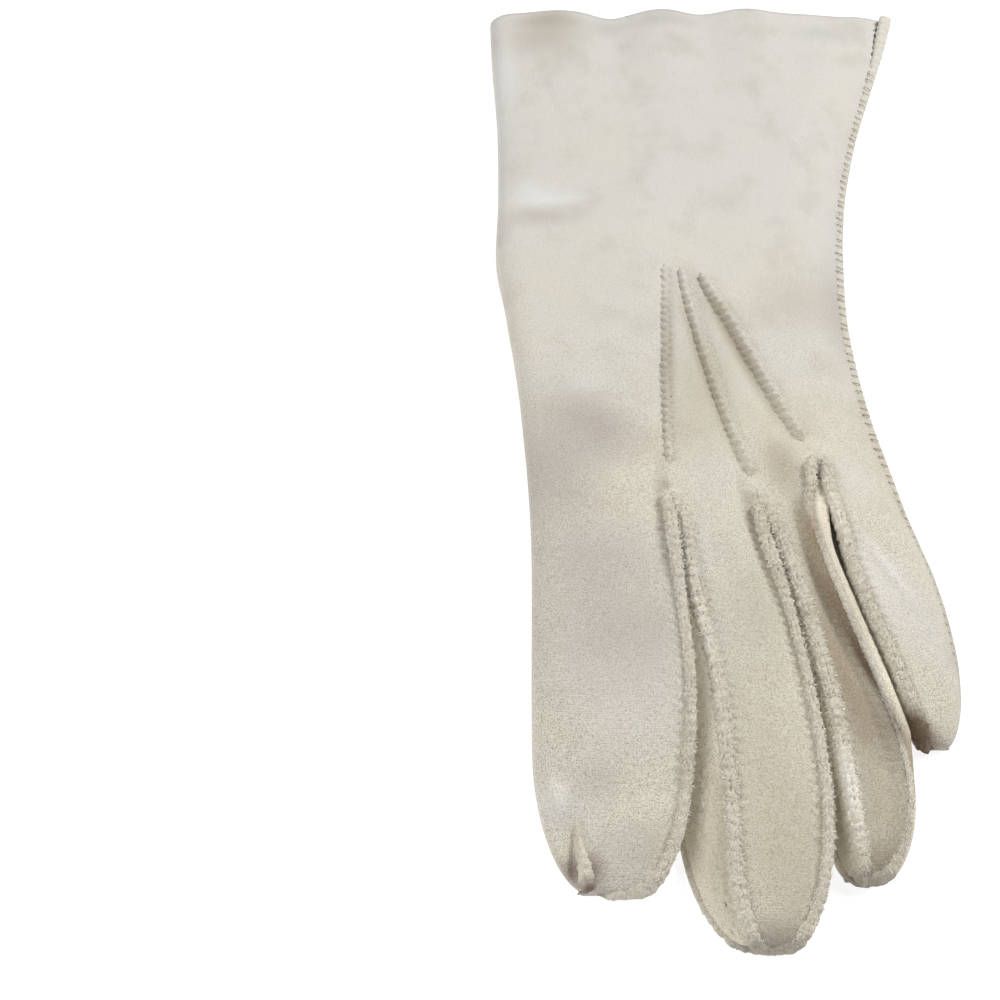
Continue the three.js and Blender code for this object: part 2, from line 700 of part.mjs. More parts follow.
// The thumb: a flattened tube with a rounded tip, open at the top of its base into the palm
function thumbGeometry() {
  const rows = [];
  for (let i = 0; i <= THUMB_STEPS; i += 1) rows.push(thumbRing(i));
  const cloth = new Cloth();
  const middle = (PALM_LEVEL + THUMB.top) / 2;
  const inHole = (corners) => {
    const centre = centreOf(corners);
    return centre.z > middle && centre.x > THUMB_HOLE.left && centre.x < THUMB_HOLE.right
      && centre.y > THUMB_HOLE.bottom && centre.y < THUMB_HOLE.top;
  };
  cloth.grid(rows, true, inHole);
  return cloth.solid(CLOTH);
}

function namedMesh(name, geometry, material) {
  const mesh = new THREE.Mesh(geometry, material);
  mesh.name = name;
  return mesh;
}

const glove = new THREE.Group();
glove.add(namedMesh('trank', trankGeometry(), MATERIALS.trank));
for (const fourchette of FOURCHETTES) {
  glove.add(namedMesh(fourchette.name, fourchetteGeometry(fourchette), MATERIALS.fourchette));
}
glove.add(namedMesh('thumb', thumbGeometry(), MATERIALS.thumb));

// The frame's origin is at the middle of the glove's box, on the surface that it lies on
const box = new THREE.Box3().setFromObject(glove);
glove.position.set(-(box.min.x + box.max.x) / 2, -(box.min.y + box.max.y) / 2, -box.min.z);

export default glove;
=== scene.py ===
import math
import random
from types import SimpleNamespace as Named

import bpy
import numpy as np
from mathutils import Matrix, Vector, noise


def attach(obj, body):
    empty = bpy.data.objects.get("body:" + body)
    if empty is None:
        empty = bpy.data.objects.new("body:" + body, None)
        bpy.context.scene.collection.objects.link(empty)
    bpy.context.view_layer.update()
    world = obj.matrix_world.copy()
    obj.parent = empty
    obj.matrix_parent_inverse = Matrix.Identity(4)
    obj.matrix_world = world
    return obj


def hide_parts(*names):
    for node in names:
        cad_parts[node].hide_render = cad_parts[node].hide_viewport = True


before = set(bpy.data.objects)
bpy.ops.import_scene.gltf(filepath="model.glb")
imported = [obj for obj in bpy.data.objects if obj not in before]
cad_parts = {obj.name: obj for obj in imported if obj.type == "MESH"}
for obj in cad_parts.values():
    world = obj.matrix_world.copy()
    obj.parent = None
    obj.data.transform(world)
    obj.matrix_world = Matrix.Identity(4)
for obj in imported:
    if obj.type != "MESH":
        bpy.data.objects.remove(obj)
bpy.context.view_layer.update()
random.seed(7)
noise.seed_set(7)

MM = 0.001
# Where the drawing's origin lies in the frame, in millimetres
SHIFT = (0.909, 2.682)


def rows_of(columns, rows):
    """A table's rows under their column names."""
    return [Named(**dict(zip(columns, row))) for row in rows]


# Cloth and its levels, as in the solids
CLOTH = 1.0
GAP = 0.3
SEAM_OFFSET = (CLOTH + GAP) / 2
PALM_EDGE = 1.2
OUTER_SEAM = 2.2
FINGER_FLANGE = 1.2
HAIRPIN = CLOTH + 0.25
PALM_LEVEL = CLOTH / 2
SEAM_LEVEL = PALM_LEVEL + HAIRPIN / 2
SEAM_TOP = PALM_LEVEL + HAIRPIN
BACK_LEVEL = 7.4
FOLD_LEVEL = 3.7
FOLD_ROUND = 6
FOLD_FOOT_ROUND = 3.0
SEAM_ROUND = Named(hand=15, finger=8, start=-20, end=-50)
SEAM_CURVE = 2.2
# Across the back: where its low side turns from the fold's level to the seam's
SEAM_SIDE = (-30, 10)
# Along it: where the flat sewn edge narrows, where the fingers take their own shape, and how the palm leans
FLANGE_ROWS = (-15, -48)
FINGER_ROWS = (-22, -50)
PALM_LEAN = Named(rows=(-28, -42), root=-50, length=50)
RING_LIFT_FROM = 0.55
TIP_CURVE = 0.9
SLOPE_STEP = 0.4
CUFF_Y = 115.5
STITCH_PITCH = 2.05
# Beside the seams: swellings between the stitches, and a hollow on one side with a roll on the other
PUFF = Named(rise=0.45, away=2.1, width=0.9, rows=(-32, -37))
DIP = Named(rise=-0.6, away=2.3, width=1.2)
ROLL = Named(rise=0.25, away=1.6, width=1.6)
# The cuff, its turned-up corner, and the ends of the hand and the fingers
CUFF_LENGTH = 46
CORNER = 5.5
CORNER_LENGTH = 34
CORNER_SHARED = 0.6
HAND_END = -28
TIP_LENGTH = 17
CUFF_WAVES = rows_of(["x", "rise", "width"], [
    (-37, 1.2, 9),
    (-23, -1.7, 6),
    (-9, 1.6, 7),
    (2, -0.5, 5),
    (14, 1.7, 8),
    (40, -0.8, 7),
])
THUMB = Named(
    base=18, tip=-62, base_x=-33.4, tip_x=-33.0, base_half=14.4, tip_half=12.6,
    top=6.1, base_round=12, tip_round=19, narrowest=0.3, steps=64, turns=56,
    across_curve=0.6, up_curve=0.5, closed_below=3.3,
)
THUMB_HOLE = Named(x=-33.5, y=-5, half_x=11, half_y=11)
# Rise of palm and back over the folded thumb
PALM_HUMP, BACK_HUMP = rows_of(["rise", "full", "right", "cuff_full", "cuff_end", "tip_full", "tip_end"], [
    (6.9, -21.2, -8.5, 15, 44, -62, -90),
    (5.4, -21.2, -3.0, 27, 58, -72, -97),
])
# x of the edges and of the lines between the fingers, in the hand and along the fingers
HAND_LINES = rows_of(["y", "fold", "first", "second", "third", "seam"], [
    (118, -55.7, -21, -1, 19, 54.6),
    (98, -54.9, -20, -3, 14, 48.5),
    (74, -53.5, -18.5, -6.5, 7, 39.6),
    (50, -53.3, -17, -10.5, -1.5, 32.9),
    (26, -53.7, -15.8, -12.2, -7.4, 29.3),
    (10, -51.4, -16.8, -10.4, -1.4, 28.3),
    (-10, -48.8, -18.2, -6.3, 6.2, 29.4),
    (-28, -47.3, -18.9, -1.2, 14, 32.1),
])
FINGER_LINES = rows_of(["y", "fold", "index_r", "mid_l", "mid_r", "ring_l", "ring_r", "lit_l", "seam"], [
    (-28, -47.3, -18.9, -18.9, -1.2, -1.2, 14, 14, 32.1),
    (-35, -46.9, -19.2, -19.2, 0.6, 0.6, 11.0, 16.2, 33.2),
    (-42, -46.6, -19, -16.1, 0.7, 3.5, 11.3, 17.2, 34.7),
    (-50, -46.5, -18.7, -14.9, 2.2, 5.5, 12.7, 18, 36.4),
    (-60, -46.6, -18.2, -13.7, 4, 7.3, 15.2, 20.1, 37.5),
    (-75, -46.8, -17.8, -12.2, 5.6, 9.4, 18.9, 24, 37.6),
    (-90, -46.8, -18.4, -11.5, 6.3, 10.4, 21.3, 26, 37.3),
    (-121, -46.8, -18.4, -12.4, 6.3, 10.4, 21.3, 26, 37.3),
])
# The hand's line that each finger's edge runs on from
HAND_NAMES = {
    "fold": "fold", "index_r": "first", "mid_l": "first", "mid_r": "second", "ring_l": "second",
    "ring_r": "third", "lit_l": "third", "seam": "seam",
}
FINGERS = rows_of([
    "name", "sides", "tip_x", "tip_y", "blunt", "crown", "round", "palm_round", "leans",
], [
    ("index", ("fold", "index_r"), -33.2, -111.4, 0.25, 0.5, (-86, -82), (-86, -82), ((0, 0), (-2.8, -4.5))),
    (
        "middle", ("mid_l", "mid_r"), -5.8, -120.4, 0.16, 0.8, (-106, -88), (-96, -88),
        ((-2.8, -7.6), (-2.5, -2.5)),
    ),
    (
        "ring", ("ring_l", "ring_r"), 12.4, -109.2, 0.2, -0.9, (-96, -88), (-97, -88),
        ((-2.5, -2.5), (0.3, 0.3)),
    ),
    ("little", ("lit_l", "seam"), 29.2, -85.2, 0.25, 0.7, (-74, -65), (-74, -65), ((1.2, 1.2), (0, 0))),
])
# Where the fingers part on the back and on the palm, and the pairs of edges that part there
BACK_CROTCH = [-38, -37.5, -28]
BACK_INSET = 0.35
TWINS = [("index_r", "mid_l"), ("mid_r", "ring_l"), ("ring_r", "lit_l")]
PALM_CROTCH = -50
DART = Named(start=-94, full=-104, valley=-40.2, ridge=-36.6, width=1.6, depth=2.1, rise=1.4)
# Rows and columns of the cloth's grids
HAND_ROWS = 120
ROOT_ROWS = 21
ROOT_END = -38
ROW_STEP = 0.5
STRIP_ROWS = {"tip_rows": 26, "tip_short": 0.5}
WALL_ROWS = {"tip_rows": 36, "tip_short": 0.8}
COLUMN_GATHER = 0.11
BACK_COLUMNS = [42, 32, 30, 30]
PALM_COLUMNS = [18, 8, 8, 10]
WELDS_PER_MM = 500

# Soft folds and dents of the back: place, direction in degrees from +X, half length, half width and rise
FOLDS = rows_of(["x", "y", "turn", "half", "width", "rise"], [
    (-45, 50, 0, 10, 2.6, 0.55),
    (-44, 44, 4, 14, 3.2, -0.6),
    (-36, 0, 12, 11, 2.4, 0.5),
    (-33, -14, 35, 13, 6, -0.9),
    (-40.8, 84.5, -74, 13, 1.1, -0.5),
    (-30, -40, 60, 10, 5, -0.5),
    (24.5, -51, -62, 10, 1.2, 0.5),
    (-17, -32.5, -55, 2.6, 0.9, 0.35),
    (0.5, -32.5, -70, 3.0, 0.9, 0.3),
    (-19.3, -33.6, 0, 2.2, 1.0, 0.8),
    (0.5, -33.6, 0, 2.2, 1.0, 0.8),
    (13.6, -26.6, 0, 3.0, 1.3, 0.8),
    (-43.2, -96, -60, 4.0, 2.4, 1.9),
    (-33, -103, 75, 7, 3.0, -0.45),
    (11, -58, -68, 18, 2.4, -0.7),
    (5, -28, -55, 9, 3.0, 0.35),
    (-8, -60, 80, 16, 3.2, -0.3),
    (-38, -62, 10, 8, 4, -0.4),
    (10, 8, -40, 12, 6, 0.4),
    (20, 30, 70, 26, 5, -0.35),
    (16.8, -26, -50, 7, 1.5, 0.45),
])


def clamp(value, low, high):
    return np.clip(value, low, high)


def mix(a, b, t):
    return a + (b - a) * t


def smooth_step(start, end, value):
    t = clamp((value - start) / (end - start), 0, 1)
    return t * t * (3 - 2 * t)


def bell(distance, width):
    return np.exp(-((distance / width) ** 2))


def value_at(table, column, y):
    """Value of a named column at y, on a smooth curve through a table whose rows fall in y."""
    y = np.asarray(y, float)
    ys = np.array([row.y for row in table], float)
    vs = np.array([getattr(row, column) for row in table], float)
    last = len(ys) - 1
    i = np.clip(np.searchsorted(-ys, -y, side="left") - 1, 0, last - 1)
    before = np.maximum(np.arange(last + 1) - 1, 0)
    after = np.minimum(np.arange(last + 1) + 1, last)
    slopes = (vs[after] - vs[before]) / (ys[after] - ys[before])
    span = ys[i + 1] - ys[i]
    t = clamp((y - ys[i]) / span, 0, 1)
    t2 = t * t
    t3 = t2 * t
    return ((2 * t3 - 3 * t2 + 1) * vs[i] + (t3 - 2 * t2 + t) * span * slopes[i]
            + (-2 * t3 + 3 * t2) * vs[i + 1] + (t3 - t2) * span * slopes[i + 1])


def straight_line(name, y):
    """x of a line that runs on from the hand into a finger."""
    y = np.asarray(y, float)
    in_hand = value_at(HAND_LINES, HAND_NAMES[name], y)
    line = np.where(y > HAND_END, in_hand, value_at(FINGER_LINES, name, y))
    for twins, crotch in zip(TWINS, BACK_CROTCH):
        if name in twins:
            joined = (value_at(FINGER_LINES, twins[0], y) + value_at(FINGER_LINES, twins[1], y)) / 2
            line = np.where((y <= HAND_END) & (y >= crotch), joined, line)
    return line


def tip_share(tip_y, blunt, start, y):
    """Share of the full width or height that is left at y in a rounded tip."""
    s = clamp((start - y) / (start - tip_y), 0, 1)
    return blunt + (1 - blunt) * np.sqrt(1 - s * s)


def edge_x(finger, side, layer, y):
    """x of one edge of a finger's back or palm; side is 0 for left and 1 for right."""
    y = np.asarray(y, float)
    x = straight_line(finger.sides[side], y)
    start = finger.round[side]
    if layer == "palm":
        root, tip = finger.leans[side]
        along = clamp((PALM_LEAN.root - y) / PALM_LEAN.length, 0, 1)
        x = x + mix(root, tip, along) * smooth_step(*PALM_LEAN.rows, y)
        start = finger.palm_round[side]
    return finger.tip_x + (x - finger.tip_x) * tip_share(finger.tip_y, finger.blunt, start, y)


def lifted(hump, x, y):
    """Rise over the folded thumb."""
    across = 1 - smooth_step(hump.full, hump.right, x)
    from_cuff = smooth_step(hump.cuff_end, hump.cuff_full, y)
    from_tip = smooth_step(hump.tip_end, hump.tip_full, y)
    return hump.rise * across * from_cuff * from_tip


def palm_height(x, y):
    return PALM_LEVEL + lifted(PALM_HUMP, x, y)


def fold_height(x, y):
    return FOLD_LEVEL + (lifted(PALM_HUMP, x, y) + lifted(BACK_HUMP, x, y)) / 2


def cuff_wave(x, y):
    fade = smooth_step(CUFF_Y - CUFF_LENGTH, CUFF_Y, y)
    return fade * sum(wave.rise * bell(x - wave.x, wave.width) for wave in CUFF_WAVES)


def corner_lift(y):
    return CORNER * smooth_step(CUFF_Y - CORNER_LENGTH, CUFF_Y, y)


def folds(x, y):
    total = 0
    for fold in FOLDS:
        turn = math.radians(fold.turn)
        along = (x - fold.x) * math.cos(turn) + (y - fold.y) * math.sin(turn)
        across = -(x - fold.x) * math.sin(turn) + (y - fold.y) * math.cos(turn)
        total = total + fold.rise * bell(along, fold.half) * bell(across, fold.width)
    return total


def flange(y):
    """Width of the flat edge where back and palm are sewn together."""
    return mix(OUTER_SEAM, FINGER_FLANGE, smooth_step(*FLANGE_ROWS, y))


def back_height(x, y):
    from_fold = clamp((x - straight_line("fold", y)) / FOLD_ROUND, 0, 1)
    in_finger = smooth_step(SEAM_ROUND.start, SEAM_ROUND.end, y)
    seam_round = mix(SEAM_ROUND.hand, SEAM_ROUND.finger, in_finger)
    from_seam = clamp((straight_line("seam", y) - flange(y) - x) / seam_round, 0, 1)
    level = BACK_LEVEL + cuff_wave(x, y) + folds(x, y)
    seam_level = SEAM_TOP + CORNER_SHARED * corner_lift(y)
    fold_share = np.sqrt(1 - (1 - from_fold) ** 2)
    seam_share = 1 - (1 - from_seam) ** SEAM_CURVE
    low = mix(FOLD_LEVEL, seam_level, smooth_step(*SEAM_SIDE, x))
    return low + (level - low) * fold_share * seam_share + lifted(BACK_HUMP, x, y)


def tip_start(finger):
    return finger.tip_y + TIP_LENGTH


def height_share(finger, y):
    return tip_share(finger.tip_y, 0, tip_start(finger), y)


def dart_height(x, y):
    along = smooth_step(DART.start, DART.full, y)
    ridge = DART.rise * bell(x - DART.ridge, DART.width)
    valley = DART.depth * bell(x - DART.valley, DART.width)
    return along * (ridge - valley)


def finger_height(finger, x, share, y):
    """Height of a finger's back, where share runs from 0 at its left edge to 1 at its right edge."""
    in_finger = smooth_step(*FINGER_ROWS, y)
    crown = finger.crown * 4 * share * (1 - share) * in_finger
    ring_lift = smooth_step(RING_LIFT_FROM, 1, share) * in_finger if finger.name == "ring" else 0
    down = height_share(finger, y)
    rounded = mix(SEAM_TOP, back_height(x, y) + crown + ring_lift, down ** TIP_CURVE)
    return rounded + (dart_height(x, y) * down if finger.name == "index" else 0)


def foot_height(x, y):
    """Height at which a side wall stands on the palm's cloth, on its slope too."""
    slope = abs(palm_height(x + SLOPE_STEP, y) - palm_height(x - SLOPE_STEP, y)) / (2 * SLOPE_STEP)
    return palm_height(x, y) + (CLOTH / 2) * (np.hypot(1, slope) + slope) + GAP


# Meshes

def to_metres(points):
    points = np.asarray(points, float)
    return (points + np.array([SHIFT[0], SHIFT[1], 0])) * MM


def make_object(name, points, faces, material, body="root"):
    mesh = bpy.data.meshes.new(name)
    mesh.from_pydata(to_metres(points).tolist(), [], [list(face) for face in faces])
    mesh.validate()
    mesh.polygons.foreach_set("use_smooth", [True] * len(mesh.polygons))
    obj = bpy.data.objects.new(name, mesh)
    bpy.context.scene.collection.objects.link(obj)
    mesh.materials.append(material)
    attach(obj, body)
    return obj


def welded(grids):
    """Joins grids of points into one set of shared points and triangles."""
    points = np.concatenate([grid.reshape(-1, 3) for grid, _, _ in grids])
    keys = np.round(points * WELDS_PER_MM).astype(np.int64)
    _, first, index = np.unique(keys, axis=0, return_index=True, return_inverse=True)
    index = index.reshape(-1)
    triangles = []
    start = 0
    for grid, flip, keep in grids:
        rows, columns = grid.shape[:2]
        ids = index[start:start + rows * columns].reshape(rows, columns)
        start += rows * columns
        a, b, c, d = ids[:-1, :-1], ids[1:, :-1], ids[1:, 1:], ids[:-1, 1:]
        if keep is not None:
            a, b, c, d = a[keep], b[keep], c[keep], d[keep]
        a, b, c, d = (part.reshape(-1) for part in (a, b, c, d))
        if flip:
            b, d = d, b
        triangles.append(np.stack([a, b, c], 1))
        triangles.append(np.stack([a, c, d], 1))
    triangles = np.concatenate(triangles)
    real = ((triangles[:, 0] != triangles[:, 1]) & (triangles[:, 1] != triangles[:, 2])
            & (triangles[:, 2] != triangles[:, 0]))
    return points[first], triangles[real]


def thick_cloth(name, grids, material, thickness=CLOTH):
    """Cloth with its thickness half to each side, closed along its cut edges."""
    points, triangles = welded(grids)
    count = len(points)
    a, b, c = (points[triangles[:, k]] for k in range(3))
    face_normals = np.cross(b - a, c - a)
    normals = np.zeros_like(points)
    for k in range(3):
        np.add.at(normals, triangles[:, k], face_normals)
    normals /= np.maximum(np.linalg.norm(normals, axis=1, keepdims=True), 1e-9)
    upper = points + normals * thickness / 2
    lower = points - normals * thickness / 2
    both = np.concatenate([upper, lower])
    both[:, 2] = np.maximum(both[:, 2], 0)
    starts = triangles.reshape(-1)
    ends = np.roll(triangles, -1, axis=1).reshape(-1)
    codes = starts.astype(np.int64) * count + ends
    back_codes = ends.astype(np.int64) * count + starts
    open_edge = ~np.isin(codes, back_codes)
    rim = [(t, f, f + count, t + count) for f, t in zip(starts[open_edge].tolist(), ends[open_edge].tolist())]
    faces = triangles.tolist() + (triangles[:, ::-1] + count).tolist() + rim
    return make_object(name, both, faces, material)


def lengths_along(path):
    """Distance along a path at each of its points."""
    return np.concatenate([[0], np.cumsum(np.linalg.norm(np.diff(path, axis=0), axis=1))])


def resample(path, step):
    """Points of a path at even spacing, and the distance along it."""
    along = lengths_along(path)
    count = max(int(along[-1] / step), 2)
    wanted = np.linspace(0, along[-1], count + 1)
    return np.stack([np.interp(wanted, along, path[:, k]) for k in range(3)], 1), wanted


def smoothed(values, passes):
    values = values.copy()
    for _ in range(passes):
        values[1:-1] = (values[:-2] + 2 * values[1:-1] + values[2:]) / 4
    return values


def column_shares(count):
    """Places of the columns across a strip, closer together near its edges."""
    t = np.linspace(0, 1, count + 1)
    return t - COLUMN_GATHER * np.sin(2 * np.pi * t)


def rows_to_tip(finger, top_y, form):
    """Rows from top_y to short of a fingertip: evenly spaced ones, then turned ones round the tip."""
    start = tip_start(finger)
    end = finger.tip_y + form["tip_short"]
    count = form.get("rows") or int((top_y - start) / ROW_STEP)
    turn = np.linspace(0, np.pi / 2, form["tip_rows"])[1:]
    return np.concatenate([np.linspace(top_y, start, count), start + (end - start) * np.sin(turn)])


def strip_rows(finger):
    hand = np.linspace(CUFF_Y, HAND_END, HAND_ROWS)
    root = np.linspace(HAND_END, ROOT_END, ROOT_ROWS)[1:]
    return np.concatenate([hand, root, rows_to_tip(finger, ROOT_END, STRIP_ROWS)[1:]])


def puffs(finger, x, y):
    """Small swellings of the cloth between the stitches, beside the finger seams and the outer seam."""
    total = 0
    for side in (0, 1):
        if finger.name == "index" and side == 0:
            continue
        outer = finger.name == "little" and side == 1
        away = np.abs(x - edge_x(finger, side, "back", y))
        swell = 0.5 - 0.5 * np.cos(2 * np.pi * (y / STITCH_PITCH + 0.5 * side))
        on = 1 if outer else smooth_step(*PUFF.rows, y)
        total = total + PUFF.rise * swell * bell(away - PUFF.away, PUFF.width) * on
        if not outer:
            beside = DIP if side else ROLL
            total = total + beside.rise * bell(away - beside.away, beside.width) * on
    return total * height_share(finger, y)


def back_edge(i, side, ys):
    """One edge of the back: the hand's line, and past the crotch the finger's own edge."""
    finger = FINGERS[i]
    line = straight_line(finger.sides[side], ys)
    own = edge_x(finger, side, "back", ys)
    crotch = i if side else i - 1
    if not 0 <= crotch < len(BACK_CROTCH):
        return np.where(ys <= HAND_END, own, line)
    return np.where(ys < BACK_CROTCH[crotch], own + (-BACK_INSET if side else BACK_INSET), line)


def palm_edge(i, side, ys):
    """One edge of the palm, which meets the next finger's as far as the crotch."""
    finger = FINGERS[i]
    line = straight_line(finger.sides[side], ys)
    own = edge_x(finger, side, "palm", ys)
    beside = i + 1 if side else i - 1
    if 0 <= beside < len(FINGERS):
        other = edge_x(FINGERS[beside], 1 - side, "palm", ys)
        own = np.where(ys >= PALM_CROTCH, (own + other) / 2, own + (PALM_EDGE if side else -PALM_EDGE))
    return np.where(ys > HAND_END, line, own)


def fold_edge(finger, left, ys):
    """Height of the fold along the index finger's outer edge."""
    return mix(SEAM_LEVEL, fold_height(left, ys), height_share(finger, ys))


def spread(finger, left, right, ys, share):
    """x and y of a grid between two edges, short of the flat sewn edge on the little finger's side."""
    if finger.name == "little":
        right = right - flange(ys)
    x = mix(left[:, None], right[:, None], share)
    return x, np.repeat(ys[:, None], x.shape[1], axis=1)


def closed(finger, grid, right, ys):
    """A grid with the sewn edge's column, where it has one, and the row where back and palm meet."""
    if finger.name == "little":
        rim = np.stack([right, ys, SEAM_LEVEL + corner_lift(ys)], -1)
        grid = np.concatenate([grid, rim[:, None, :]], 1)
    tip = grid[-1:].copy()
    tip[..., 1] = finger.tip_y
    tip[..., 2] = SEAM_LEVEL
    return np.concatenate([grid, tip], 0)


def back_grid(i, columns):
    """The back of one finger with its part of the hand."""
    finger = FINGERS[i]
    ys = strip_rows(finger)
    share = column_shares(columns)[None, :]
    left = back_edge(i, 0, ys)
    right = back_edge(i, 1, ys)
    x, y = spread(finger, left, right, ys, share)
    z = finger_height(finger, x, share, y) + puffs(finger, x, y)
    if finger.name == "index":
        z[:, 0] = fold_edge(finger, left, ys)
    return closed(finger, np.stack([x, y, z], -1), right, ys)


def palm_grid(i, columns):
    """The palm of one finger with its part of the hand."""
    finger = FINGERS[i]
    ys = strip_rows(finger)
    share = column_shares(columns)[None, :]
    left = palm_edge(i, 0, ys)
    right = palm_edge(i, 1, ys)
    x, y = spread(finger, left, right, ys, share)
    z = palm_height(x, y)
    if finger.name == "index":
        edge = fold_edge(finger, left, ys)[:, None]
        from_fold = clamp((x - left[:, None]) / FOLD_FOOT_ROUND, 0, 1)
        z = z + (edge - z) * (1 - np.sqrt(1 - (1 - from_fold) ** 2))
    if finger.name == "little":
        z = z + CORNER_SHARED * corner_lift(ys)[:, None] * smooth_step(0.5, 1, share)
    return closed(finger, np.stack([x, y, z], -1), right, ys)


def outside_thumb_hole(grid):
    centre = (grid[:-1, :-1] + grid[1:, 1:]) / 2
    across = (centre[..., 0] - THUMB_HOLE.x) / THUMB_HOLE.half_x
    along = (centre[..., 1] - THUMB_HOLE.y) / THUMB_HOLE.half_y
    return across ** 2 + along ** 2 > 1


def build_trank(material):
    grids = []
    for i, (back_columns, palm_columns) in enumerate(zip(BACK_COLUMNS, PALM_COLUMNS)):
        grids.append((back_grid(i, back_columns), False, None))
        palm = palm_grid(i, palm_columns)
        grids.append((palm, True, outside_thumb_hole(palm) if i == 0 else None))
    piece = thick_cloth("trank_cloth", grids, material)
    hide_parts("trank")


def build_thumb(material):
    steps = THUMB.steps
    turns = THUMB.turns
    grid = np.zeros((steps + 1, turns + 1, 3))
    for i in range(steps + 1):
        t = (1 - math.cos(math.pi * i / steps)) / 2
        y = mix(THUMB.base, THUMB.tip, t)
        from_base = min(max((THUMB.base - y) / THUMB.base_round, 0), 1)
        from_tip = min(max((y - THUMB.tip) / THUMB.tip_round, 0), 1)
        roundness = math.sqrt(1 - (1 - from_base) ** 2) * math.sqrt(1 - (1 - from_tip) ** 2)
        half = mix(THUMB.base_half, THUMB.tip_half, t) * mix(THUMB.narrowest, 1, roundness)
        centre = mix(THUMB.base_x, THUMB.tip_x, t)
        top = mix(SEAM_TOP, THUMB.top, math.sqrt(roundness))
        middle = (PALM_LEVEL + top) / 2
        for j in range(turns + 1):
            angle = 2 * math.pi * (j % turns) / turns - math.pi / 2
            across = math.copysign(abs(math.cos(angle)) ** THUMB.across_curve, math.cos(angle))
            up = math.copysign(abs(math.sin(angle)) ** THUMB.up_curve, math.sin(angle))
            z = SEAM_LEVEL if i in (0, steps) else middle + up * (top - PALM_LEVEL) / 2
            grid[i, j] = (centre + across * half, y, z)
    centre_z = (grid[:-1, :-1, 2] + grid[1:, 1:, 2]) / 2
    keep = outside_thumb_hole(grid) | (centre_z < THUMB.closed_below)
    piece = thick_cloth("thumb_cloth", [(grid, True, keep)], material)
    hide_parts("thumb")


# Fourchettes: the crotch row, how far each wall rolls outwards, and the raw-edged seam along each
FOURCHETTES = [
    Named(
        name="fourchette_index_middle", first=0, bend=-37, roll=(0.2, 0.4), root_roll=0.2,
        apart=1.1, seam_top=-38.5, thin_from=-46, top_size=1.08, edges=(0.8, 1.12),
        drawn_in=1.1, past_tip=3.2, fade=(3, 0),
    ),
    Named(
        name="fourchette_middle_ring", first=1, bend=-37, roll=(0.2, 0.3), root_roll=0.2,
        apart=1.1, seam_top=-38, thin_from=-46, top_size=1.16, edges=(0.8, 1.15),
        drawn_in=0.0, past_tip=0.9, fade=(0, 0),
    ),
    Named(
        name="fourchette_ring_little", first=2, bend=-31, roll=(2.0, 0.0), root_roll=3.9,
        apart=1.7, seam_top=-28, thin_from=-29, top_size=0.95, edges=(0.42, 0.95),
        drawn_in=0.0, past_tip=0.9, fade=(0, 3),
    ),
]
# A side wall: its cloth and roughness, and its section from edge to foot
WALL = Named(
    cloth=0.8, rough=0.5, rough_scale=1.2, rough_columns=(5, 11), bend_steps=8,
    fullness=(1.0, 1.8), least=0.4, slope=3, edge_in=0.3, edge_up=0.2,
    edge_down=0.1, shoulder=0.3, ankle=0.9, ankle_share=0.4, roll_rows=(2, 17), roll_height=5,
    reach=(0.2, 5.0), reach_rows=(-2, 22), columns=20, gather=1.4, swell_at=0.45, swell=0.8,
)


def edge_normals(finger, side, ys):
    """Directions in plan that lead out of a finger at one of its edges."""
    slope = edge_x(finger, side, "back", ys + SLOPE_STEP) - edge_x(finger, side, "back", ys - SLOPE_STEP)
    slope = clamp(slope / (2 * SLOPE_STEP), -WALL.slope, WALL.slope)
    length = np.hypot(1, slope)
    outward = 1 if side else -1
    return outward / length, -outward * slope / length


def wall_leg(finger, side, bend, roll, root_roll, fullness):
    """Stations of a side wall from the crotch to the fingertip."""
    ys = rows_to_tip(finger, bend, WALL_ROWS)
    ridge_x = edge_x(finger, side, "back", ys)
    foot_x = edge_x(finger, side, "palm", ys)
    nx, ny = edge_normals(finger, side, ys)
    bottom = foot_height(foot_x, ys)
    top = np.maximum(finger_height(finger, ridge_x, float(side), ys), bottom + WALL.least)
    high = top - bottom
    offset = SEAM_OFFSET * clamp(high / 2, 0.2, 1)
    x = ridge_x + nx * offset
    y = ys + ny * offset
    shoulder = WALL.shoulder * np.minimum(1, high)
    ankle = bottom + np.minimum(WALL.ankle, (top - shoulder - bottom) * WALL.ankle_share)
    rolled = smooth_step(bend - WALL.roll_rows[0], bend - WALL.roll_rows[1], ys)
    reach = mix(root_roll, roll, rolled) * smooth_step(0, WALL.roll_height, high)
    near_tip, off_tip = (tip_start(finger) + row for row in WALL.reach_rows)
    reach = np.minimum(reach, mix(*WALL.reach, smooth_step(near_tip, off_tip, ys)))
    columns = [
        np.stack([x - nx * WALL.edge_in, y - ny * WALL.edge_in, top + WALL.edge_up], -1),
        np.stack([x, y, top - WALL.edge_down], -1),
    ]
    for t in np.linspace(0, 1, WALL.columns) ** WALL.gather:
        out = reach * math.sin(math.pi * t ** WALL.swell_at) ** WALL.swell
        z = mix(top - shoulder, ankle, t ** fullness)
        columns.append(np.stack([mix(x, foot_x, t) + nx * out, mix(y, ys, t) + ny * out, z], -1))
    columns.append(np.stack([foot_x, ys, bottom], -1))
    return np.stack(columns, 1)


